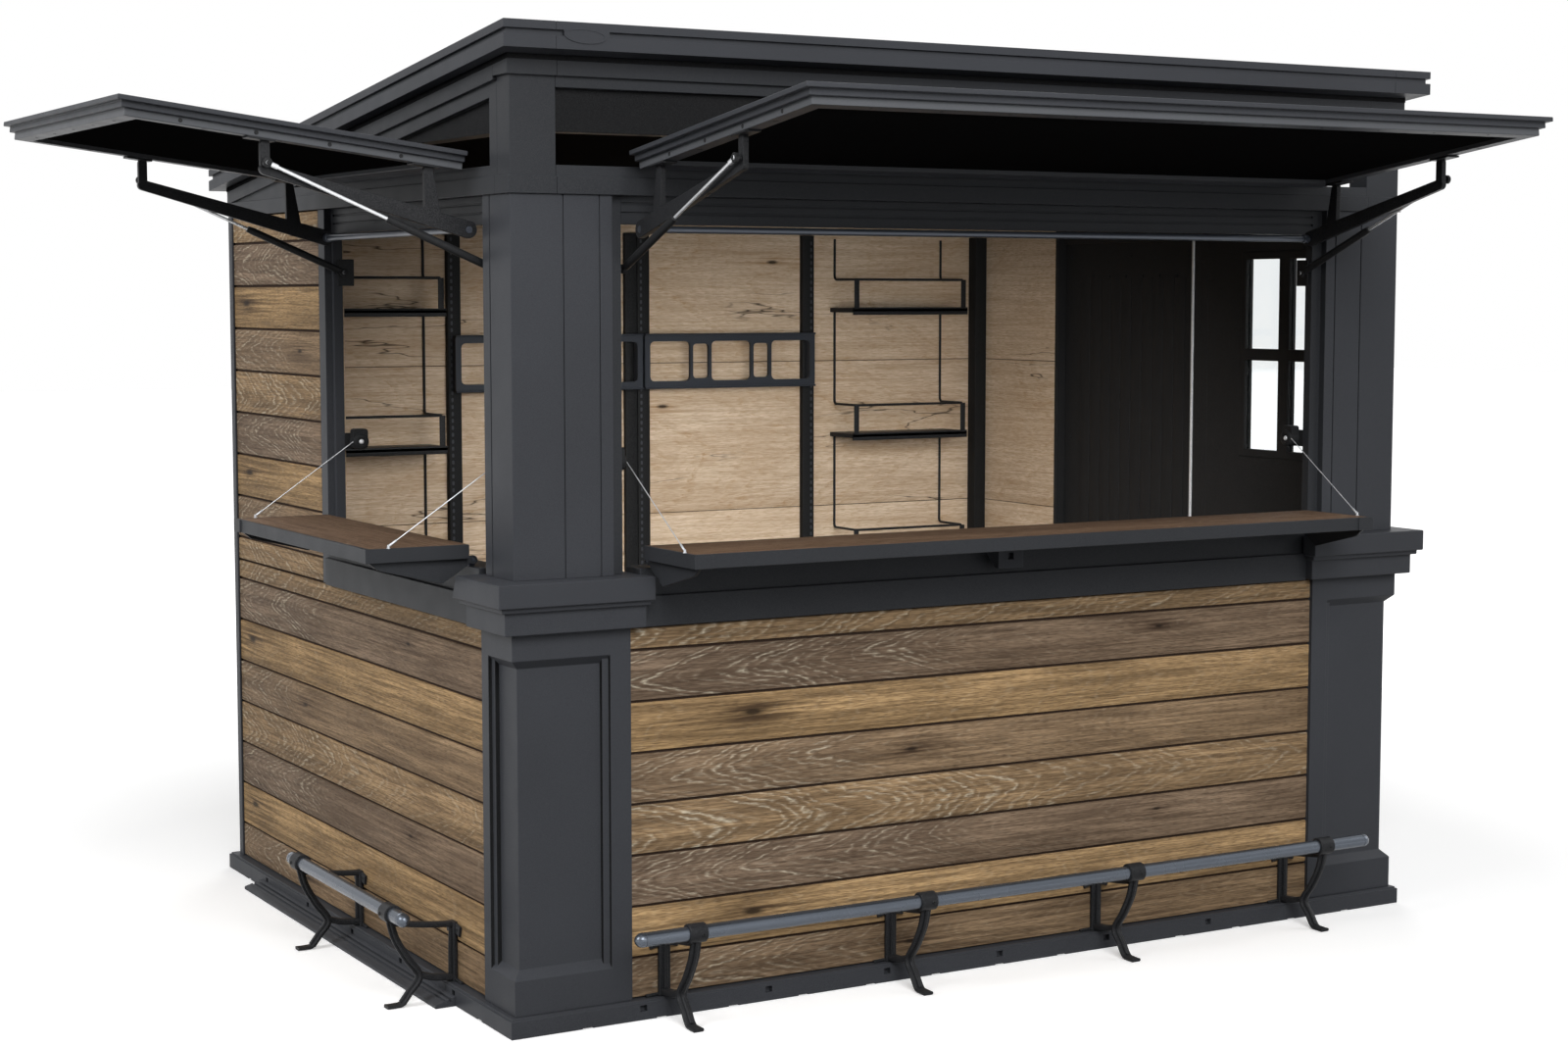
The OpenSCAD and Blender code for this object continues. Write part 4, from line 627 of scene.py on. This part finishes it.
ROOF_SLOPE, EAVE = 240 / 2134, -44
SHADE_SHEET_TOP, SHADE_SHEET_ENDS, SHADE_SHEET_WIDTH = 2274, (100, 1954), 2500
roof_shade_sheet = bmesh.new()
sweep(roof_shade_sheet, [at(WIDTH / 2, y, SHADE_SHEET_TOP - ROOF_SLOPE * (y - EAVE)) for y in SHADE_SHEET_ENDS],
      slab(SHADE_SHEET_WIDTH * MM, 4 * MM, MM), RIGHT)
piece("roof_lining", roof_shade_sheet, PAINTED_SHADE_BLACK)

# Black strip under the roof edge, on the crown of the headers: painted shadow of the roof's overhang

CROWN, CROWN_END, SHADOW_STRIP_DEPTH, SHADOW_STRIP_HEIGHT = 17, 2027, 3, 12
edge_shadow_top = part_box("front_header")[1].z / MM
edge_shadow_strip = bmesh.new()
for ends, side in ((((CROWN, CROWN), (WIDTH - CROWN, CROWN)), BACK),
                   (((CROWN, CROWN), (CROWN, CROWN_END)), RIGHT),
                   (((WIDTH - CROWN, CROWN), (WIDTH - CROWN, CROWN_END)), RIGHT)):
    sweep(edge_shadow_strip, [at(x, y, edge_shadow_top - SHADOW_STRIP_HEIGHT / 2 - ROOF_SLOPE * (y - CROWN)) for x, y in ends],
          slab(SHADOW_STRIP_DEPTH * MM, SHADOW_STRIP_HEIGHT * MM, MM), side)
piece("roof_edge_painted_shadow", edge_shadow_strip, PAINTED_SHADE_BLACK)

# Bare oval plate on the roof edge

PLATE_X, PLATE_Z, PLATE_TILT, PLATE_POINTS = 181, 2270, 0.02, 40


def oval(length, height, y):
    """An oval on the roof edge that leans with the edge."""
    turns = [2 * math.pi * step / PLATE_POINTS for step in range(PLATE_POINTS)]
    return [at(PLATE_X + length / 2 * math.cos(turn), y,
               PLATE_Z + height / 2 * math.sin(turn) - PLATE_TILT * length * math.cos(turn))
            for turn in turns]


plate = bmesh.new()
pierced(plate, oval(104, 34, -45.2), [], BACK * 3 * MM)
pierced(plate, oval(104, 34, -46.4), [oval(95, 26, -46.4)], BACK * 2 * MM)
piece("roof_edge_plate", plate, RESIN)

# Counter tops

for name, node, body, way in (("front_counter_top", "front_counter_board", "front_shelf", 0),
                              ("left_counter_top", "left_counter_board", "left_shelf", 1)):
    low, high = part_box(node)
    top = Boards()
    figure = {"bend": 1.4, "stops": [(0.0, 0.4, -0.05, 0.3), (2.6, 0.4, 0.05, 0.5)], "seed": 21.0 + way}
    centre = (low + high) / 2
    start, end = Vector(low), Vector(high)
    start[1 - way], end[1 - way] = centre[1 - way], centre[1 - way]
    start.z = end.z = high.z
    across = Vector((way, 1 - way, 0))
    top.add(start, end, across, UP, high[1 - way] - low[1 - way], high.z - low.z, MM, figure)
    top.done(name, COUNTER, (node,), body, "counter_wood")

# Foot rails and their cast brackets

RAIL = (-140, 231)
FRONT_BRACKETS = [402 + 632 * index for index in range(4)]
LEFT_BRACKETS = [392, 1028]


def rail(shape, place, start, end):
    """A tube with domed caps and a fine ring beside each cap."""
    dome = [(0, 2), (2.5, 8.5), (7, 13), (12, 15.8), (17, 17), (22, 17), (22.4, 16.2), (24, 16.2),
            (24.4, 17)]
    length = end - start
    profile = dome + [(length - along, radius) for along, radius in reversed(dome)]
    origin = place(start, *RAIL)
    turned(shape, origin, place(end, *RAIL) - origin, [(a * MM, r * MM) for a, r in profile], 32)


def bracket(shape, place, x):
    """A casting with a clamp ring, a bowed leg on a toe, two arms and a winged wall post."""
    side = towards(place, 1, 0, 0)

    def bar(points, width, height, corner=3):
        path = flowing([place(x, y, z) for y, z in points])
        sweep(shape, path, slab(width * MM, height * MM, corner * MM), side)

    bow = [(-141, 214), (-128, 168), (-100, 118), (-68, 70), (-92, 34), (-112, 8), (-130, 4.5),
           (-153, 4.5)]
    bar(bow, 28, 8)
    bar(bow[:-2], 9, 20)
    bar([(-136, 206), (-90, 198), (-30, 190), (20, 186)], 20, 13)
    bar([(-66, 72), (-34, 62), (0, 58), (22, 56)], 22, 15)
    bar([(21, 47), (21, 120), (21, 192)], 30, 11)
    bar([(13, 49), (13, 120), (15, 186)], 9, 10)
    for way in (-1, 1):
        for top, reach, drop, height in ((178, 39, 6, 26), (51, 48, 2, 8)):
            path = [place(x + way * share * reach, 23, top - drop * share ** 2)
                    for share in (0.2, 0.5, 0.8, 1.0)]
            sweep(shape, path, slab(7 * MM, height * MM, 3 * MM), towards(place, 0, 1, 0))
    half = 23
    ring = [(0, 17.2), (0, 21), (2, 23), (2 * half - 2, 23), (2 * half, 21), (2 * half, 17.2)]
    turned(shape, place(x - half, *RAIL), side, [(a * MM, r * MM) for a, r in ring], 32)


for name, place, brackets, start, end in (("front", at, FRONT_BRACKETS, 245, 2455),
                                          ("left", at_left, LEFT_BRACKETS, 289, 1103)):
    castings, rails, screws = bmesh.new(), bmesh.new(), bmesh.new()
    rail(rails, place, start, end)
    forward = towards(place, 0, -1, 0)
    for x in brackets:
        bracket(castings, place, x)
        screw(screws, place(x + 8, RAIL[0] - 22.5, RAIL[1]), forward, 5 * MM)
        for offset in (-28, 28):
            screw(screws, place(x + offset, 20, 176), forward, 5 * MM)
    piece(name + "_rail_castings", castings, CAST,
          replaces=("rail_brackets",) if name == "front" else ())
    piece(name + "_rail_tube", rails, STEEL,
          replaces=("foot_rails",) if name == "front" else ())
    piece(name + "_rail_screws", screws, BLACK)

# Hatches: flap panels, hub bars, struts, reels and cables

FLAP_TILT = math.radians(7.1)
FLAP_HEIGHT = 2023
FLAP_EDGE, FLAP_UNDER = (-0.0415, -0.0255), -41.6
SHEET_REACH, SHEET_RISE, SHEET_WIDTH, SHEET_INSET = 403, -30.5, 684, 60
HATCHES = (("front", at, (312, 2388), "front_shelf"), ("left", at_left, (201, 1229.3), "left_shelf"))
STRUT_LOW, STRUT_HIGH, STRUT_INSET = (70, 1756), (-468, 1985.9), 17
HUB, HUB_INSET = (14, 1846), 30
REEL, REEL_PLATE = (107.5, 1308), 101
CABLE_TOP, CABLE_FOOT, CABLE_INSET, ANCHOR_INSET = (84, 1308), (-190, 1123), 30, 38.5

for name, place, opening, shelf in HATCHES:
    first = name == "front"
    along, inside = towards(place, 1, 0, 0), towards(place, 0, 1, 0)

    def flap_point(x, reach, rise):
        return place(x, -reach * math.cos(FLAP_TILT) + rise * math.sin(FLAP_TILT),
                     FLAP_HEIGHT + reach * math.sin(FLAP_TILT) + rise * math.cos(FLAP_TILT))

    leaf = dressed(name + "_flap", RESIN, 1.8)
    # The lowest step of the flap edge gets the paler resin, a painted highlight.
    leaf.materials.append(RESIN_PAINTED_HIGHLIGHT)
    hinge_line = flap_point(0, 0, 0)
    square = towards(flap_point, 0, 0, 1)
    for polygon in leaf.polygons:
        rise = (polygon.center - hinge_line).dot(square)
        if FLAP_EDGE[0] < rise < FLAP_EDGE[1] and abs(polygon.normal.dot(square)) < 0.5:
            polygon.material_index = 1

    # A black sheet under the flap: painted shade on its underside.
    sheet = bmesh.new()
    sweep(sheet, [flap_point(x, SHEET_REACH, SHEET_RISE)
                  for x in (opening[0] + SHEET_INSET, opening[1] - SHEET_INSET)],
          slab(SHEET_WIDTH * MM, 2 * MM, MM), towards(flap_point, 0, 1, 0))
    piece(name + "_flap_painted_shade_sheet", sheet, PAINTED_SHADE_BLACK)

    plugs = bmesh.new()
    down = towards(flap_point, 0, 0, -1)
    for reach in range(90, 700, 170):
        for x in (opening[0] + 40, opening[1] - 40):
            turned(plugs, flap_point(x, reach, FLAP_UNDER), down, [(0, 7 * MM), (MM, 6 * MM)], 16)
        for x, way in ((opening[0] + 22, -1), (opening[1] - 22, 1)):
            turned(plugs, flap_point(x, reach + 60, -33), along * way,
                   [(0, 5 * MM), (MM, 4 * MM)], 16)
    count = round((opening[1] - opening[0]) / 180)
    for index in range(1, count):
        x = opening[0] + (opening[1] - opening[0]) * index / count
        turned(plugs, flap_point(x, 763, FLAP_UNDER), down, [(0, 4 * MM), (MM, 3.4 * MM)], 16)
    piece(name + "_flap_plugs", plugs, BLACK)

    bar = bmesh.new()
    start, end = (place(x, *HUB) for x in (opening[0] + HUB_INSET, opening[1] - HUB_INSET))
    length = (end - start).length
    collar = [(0, 8.3), (0.016, 8.3), (0.0165, 11), (0.034, 11), (0.0345, 8.3)]
    turned(bar, start, end - start, [(a, r * MM) for a, r in collar]
           + [(length - a, r * MM) for a, r in reversed(collar)])
    piece(name + "_hub_bar", bar, DARK_STEEL,
          replaces=("hub_bars",) if first else ())

    cylinders, rods, pins, reels, caps, cables, anchors = (bmesh.new() for _ in range(7))
    for jamb, inward in zip(opening, (1, -1)):
        x = jamb + inward * STRUT_INSET
        low, high = place(x, *STRUT_LOW), place(x, *STRUT_HIGH)
        way = high - low
        tube = [(7, 5), (12, 7), (14, 9.5), (270, 9.5), (274, 8.6), (283, 8.6), (284, 6)]
        turned(cylinders, low, way, [(a * MM, r * MM) for a, r in tube])
        turned(rods, low, way, [(0.282, 0.004), (way.length - 0.026, 0.004),
                                (way.length - 0.025, 0.006), (way.length - 0.009, 0.006)], 16)
        for centre in (low, high):
            turned(cylinders, centre - along * 0.005, along,
                   [(0, 0.008), (0.001, 0.011), (0.009, 0.011), (0.010, 0.008)])
        screw(pins, low + along * inward * 0.0052, along * inward, 0.005)
        screw(pins, high - along * inward * 0.0052, along * -inward, 0.005)
        drum = [(0, 22), (26, 22), (30, 21), (32, 18), (32.2, 12), (30, 11.5)]
        turned(reels, place(jamb, *REEL), along * inward, [(a * MM, r * MM) for a, r in drum], 32)
        sweep(reels, [place(x, REEL[0], REEL[1] + 8) for x in (jamb, jamb + inward * 27)],
              slab(40 * MM, 52 * MM, 8 * MM), inside)
        sweep(reels, [place(x, REEL_PLATE, REEL[1]) for x in (jamb - inward * 16, jamb)],
              slab(56 * MM, 44 * MM, 3 * MM), inside)
        screw(caps, place(jamb + inward * 30, *REEL), along * inward, 6.5 * MM)
        top = place(jamb + inward * CABLE_INSET, *CABLE_TOP)
        foot = place(jamb + inward * ANCHOR_INSET, *CABLE_FOOT)
        turned(cables, foot, top - foot, [(0, 0.0012), ((top - foot).length, 0.0012)], 10)
        turned(anchors, foot, top - foot,
               [(0, 0.0015), (0.002, 0.0026), (0.022, 0.0026), (0.024, 0.0015)], 16)
        turned(anchors, foot - UP * 0.0055, UP,
               [(0, 0.0045), (0.002, 0.0045), (0.0022, 0.003), (0.008, 0.003), (0.009, 0.0018)], 16)
    piece(name + "_strut_tubes", cylinders, BLACK,
          replaces=("strut_cylinders",) if first else ())
    piece(name + "_strut_bars", rods, CHROME,
          replaces=("strut_rods",) if first else ())
    piece(name + "_strut_pins", pins, CHROME)
    piece(name + "_reel_drums", reels, BLACK,
          replaces=("cable_reels",) if first else ())
    piece(name + "_reel_screws", caps, CHROME)
    line = piece(name + "_cable_lines", cables, CABLE,
                 replaces=(name + "_cables",))
    reach = place(0, *CABLE_FOOT) - place(0, *CABLE_TOP)
    tuple(place(jamb, *CABLE_TOP))
    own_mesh(line)
    piece(name + "_cable_ends", anchors, CABLE, shelf)

# Fittings on the back wall

UPRIGHTS = [683.1, 1320.3, 1919.7]
SLOT_OFFSETS = [-9, -9, 10]
UPRIGHT_ENDS = (46, 1890)
BATTEN, END_POST = 1281, 2581
WALL = 1957
uprights, slots = bmesh.new(), bmesh.new()
for x, width, depth in [(x, 42, 22) for x in UPRIGHTS] + [(BATTEN, 44, 16), (END_POST, 44, 44)]:
    sweep(uprights, [at(x, WALL - depth / 2, z) for z in UPRIGHT_ENDS],
          slab(width * MM, depth * MM, 2 * MM), RIGHT)
for x, offset in zip(UPRIGHTS, SLOT_OFFSETS):
    for z in range(80, 1880, 21):
        sweep(slots, [at(x + offset, WALL - 21.8, z), at(x + offset, WALL - 22.4, z)],
              slab(0.007, 0.012, 0.003), RIGHT)
piece("upright_channels", uprights, UPRIGHT, replaces=("shelf_uprights",))
piece("upright_slots", slots, RESIN)

SHELF_LEVELS, SHELF_THICK, SHELF_DEPTH, GUARD, WIRE_TOP = (830, 1236, 1642), 14, 147, 92, 1880
wires = bmesh.new()
for start, end in ((164, 606.1), (2014.7, 2458)):
    sides = (start + 15, end - 15)
    front, back = WALL - SHELF_DEPTH + 4, WALL - 4
    for height, above in zip(SHELF_LEVELS, SHELF_LEVELS[1:] + (WIRE_TOP,)):
        guard = height + SHELF_THICK + GUARD
        sweep(wires, [at(x, WALL - SHELF_DEPTH / 2, height + SHELF_THICK / 2) for x in (start, end)],
              slab(SHELF_DEPTH * MM, SHELF_THICK * MM, 3 * MM), BACK)
        sweep(wires, [at(x, front - 2, height + 4) for x in (start, end)],
              slab(0.004, 0.024, 0.0015), BACK)
        bent = [at(sides[0], back, above), at(sides[0], back, guard), at(sides[0], front, guard),
                at(sides[1], front, guard), at(sides[1], back, guard), at(sides[1], back, above)]
        sweep(wires, rounded(bent, 14 * MM), circle(4 * MM, 10))
        for x in sides:
            sweep(wires, [at(x, front, height + 13), at(x, front, guard)],
                  slab(0.018, 0.004, 0.001), RIGHT)
piece("bent_wire_shelves", wires, BLACK, replaces=("wire_shelves",))

RACK_LOW, RACK_HIGH, RACK_RAIL, RACK_FACE = 1404, 1577, 24, 1905
RACK_ENDS = ((674, 1302), (1310, 1926))
rack = bmesh.new()


def hole(low, high, bottom, top, corner):
    """A round-cornered opening of the rack."""
    return [at((low + high) / 2, RACK_FACE, (bottom + top) / 2) + Vector((a, 0, b))
            for a, b in slab((high - low) * MM, (top - bottom) * MM, corner * MM)]


for (first, second), (start, end) in zip(zip(UPRIGHTS, UPRIGHTS[1:]), RACK_ENDS):
    dividers = [first + (second - first) * share for share in (0.313, 0.678)]
    stops = [start + 18] + [d + way * 38 for d in dividers for way in (-1, 1)] + [end - 18]
    holes = [hole(low, high, RACK_LOW + RACK_RAIL, RACK_HIGH - RACK_RAIL, 14)
             for low, high in zip(stops[::2], stops[1::2])]
    holes += [hole(divider - 28, divider + 28, RACK_LOW + 32, RACK_HIGH - 32, 10)
              for divider in dividers]
    corners = [(start, RACK_LOW), (end, RACK_LOW), (end, RACK_HIGH), (start, RACK_HIGH)]
    pierced(rack, [at(x, RACK_FACE, z) for x, z in corners], holes, BACK * 12 * MM)
    for x in (start + 9, end - 9):
        sweep(rack, [at(x, RACK_FACE + 20.5, z) for z in (RACK_LOW + 2, RACK_HIGH - 2)],
              slab(0.014, 0.021, 0.002), RIGHT)
    for rise in (RACK_LOW + 3, RACK_HIGH - 3):
        sweep(rack, [at(x, RACK_FACE - 2, rise) for x in (start, end)], slab(0.008, 0.006, 0.002), BACK)
piece("glass_rack_frame", rack, satin("rack_coat", "2b2f36", 0.36),
      replaces=("glass_rack",))

# Door fittings

DOOR_FACES = ((2673, 1), (2633, -1))
LEVER_Y, LEVER_Z, LEVER_REACH, LEVER_LENGTH = 875, 1000, 37, 116
handles = bmesh.new()
for face, way in DOOR_FACES:
    root, knee = at(face, LEVER_Y, LEVER_Z), at(face + way * LEVER_REACH, LEVER_Y, LEVER_Z)
    sweep(handles, [root, root + RIGHT * way * 6 * MM], slab(0.044, 0.044, 0.02), BACK)
    sweep(handles, rounded([root, knee, knee + BACK * LEVER_LENGTH * MM], 18 * MM, 8),
          circle(8.6 * MM, 20))
piece("door_lever", handles, DARK_STEEL, "door", ("door_handle",))

SLAT_START, SLAT_PITCH, SLATS, SLAT_ENDS = 890, 53, 10, (112, 1752)
slats = bmesh.new()
for face, way in DOOR_FACES:
    for index in range(SLATS):
        y = SLAT_START + SLAT_PITCH * (index + 0.5)
        sweep(slats, [at(face + way * 0.6, y, z) for z in SLAT_ENDS],
              slab(0.0024, 0.05, 0.001), RIGHT)
piece("door_slats", slats, RESIN_PAINTED_DEEP_SHADE, "door")

# A pale strip along the door's edge: painted light seen through the gap between the door and its jamb.
gap_light_strip = bmesh.new()
sweep(gap_light_strip, [at(2602, 816, 60), at(2602, 816, 1868)], slab(0.006, 0.01, 0.002), RIGHT)
piece("door_gap_painted_light_strip", gap_light_strip, PAINTED_GAP_LIGHT)

stop = bmesh.new()
sweep(stop, [at(2626, 830, 1876), at(2626, 1500, 1876)], slab(0.008, 0.03, 0.002), RIGHT)
piece("door_head_stop", stop, RESIN_PAINTED_DEEP_SHADE)

studs = bmesh.new()
for y in (850, 1160, 1470):
    for z in (110, 640, 1240, 1820):
        for face, way in DOOR_FACES:
            screw(studs, at(face, y, z), RIGHT * way, 5 * MM)
piece("door_screws", studs, BLACK, "door")

# Camera, light and floor

camera = bpy.data.objects.new("camera", bpy.data.cameras.new("camera"))
camera.location = (-3.6664, -6.3179, 1.6908)
camera.rotation_euler = (math.pi / 2 - 0.0877, 0, -0.5212)
camera.data.lens = 58.92
camera.data.sensor_width = 36
scene.collection.objects.link(camera)
scene.camera = camera


def lamp(name, place, target, size, power, height=None, spread=180):
    data = bpy.data.lights.new(name, "AREA")
    data.shape = "ELLIPSE"
    data.size = size
    data.size_y = height or size
    data.energy = power
    data.spread = math.radians(spread)
    made = bpy.data.objects.new(name, data)
    made.location = place
    made.rotation_euler = (Vector(target) - Vector(place)).to_track_quat("-Z", "Y").to_euler()
    made.visible_camera = False
    scene.collection.objects.link(made)


lamp("key", (-2.2, -7.0, 5.0), (0, 0, 1.0), 4.5, 450)
lamp("fill", (0.5, -7.5, 2.4), (0, 0, 1.3), 3.0, 60)
lamp("side", (-7.2, -1.0, 4.6), (0, 0, 1.0), 4.0, 340)
lamp("back", (4.0, 6.5, 4.5), (0, 0, 1.0), 4.0, 170)
lamp("right", (7.0, -2.5, 3.5), (0, 0, 1.0), 3.5, 110)
lamp("inside", (-0.1, -0.6, 1.45), (0.5, 0.95, 0.55), 2.0, 12, 0.8, 115)


def seen_ray(tree):
    """One for a ray that shows the background, also in gloss and glass, and zero for light."""
    paths = tree.nodes.new("ShaderNodeLightPath").outputs
    seen = paths["Is Camera Ray"]
    for kind in ("Is Glossy Ray", "Is Transmission Ray"):
        larger = tree.nodes.new("ShaderNodeMath")
        larger.operation = "MAXIMUM"
        tree.links.new(seen, larger.inputs[0])
        tree.links.new(paths[kind], larger.inputs[1])
        seen = larger.outputs[0]
    return seen


world = bpy.data.worlds.new("studio")
world.use_nodes = True
scene.world = world
tree = world.node_tree
strength = tree.nodes.new("ShaderNodeMapRange")
strength.inputs["To Min"].default_value = 0.17
strength.inputs["To Max"].default_value = 1.0
tree.links.new(seen_ray(tree), strength.inputs["Value"])
sky = tree.nodes["Background"]
sky.inputs["Color"].default_value = (1, 1, 1, 1)
tree.links.new(strength.outputs[0], sky.inputs["Strength"])

floor_shape = bmesh.new()
bmesh.ops.create_grid(floor_shape, x_segments=1, y_segments=1, size=40)
floor_mesh = bpy.data.meshes.new("floor")
floor_shape.to_mesh(floor_mesh)
floor_shape.free()
floor = bpy.data.objects.new("floor", floor_mesh)
floor.location.z = -0.0005
ground = Finish("pale_floor", Roughness=0.9)
near_pale = ground.mix(ground.noise(ground.position(), 60, 2), colour("eeeeee"), colour("f6f6f6"))
seen = seen_ray(ground.tree)
away = ground.node("VectorMath", {0: ground.position()}, operation="LENGTH").outputs["Value"]
far = ground.range(away, 0.0, 1.0, 2.2, 5.5)
ground.put(ground.shader, {"Base Color": ground.mix(seen, colour("303030"), near_pale),
                           "Emission Color": (1, 1, 1, 1),
                           "Emission Strength": ground.product(seen, ground.range(far, 0.3, 1.0))})
floor_mesh.materials.append(ground.material)
scene.collection.objects.link(floor)

scene.view_settings.view_transform = "Standard"
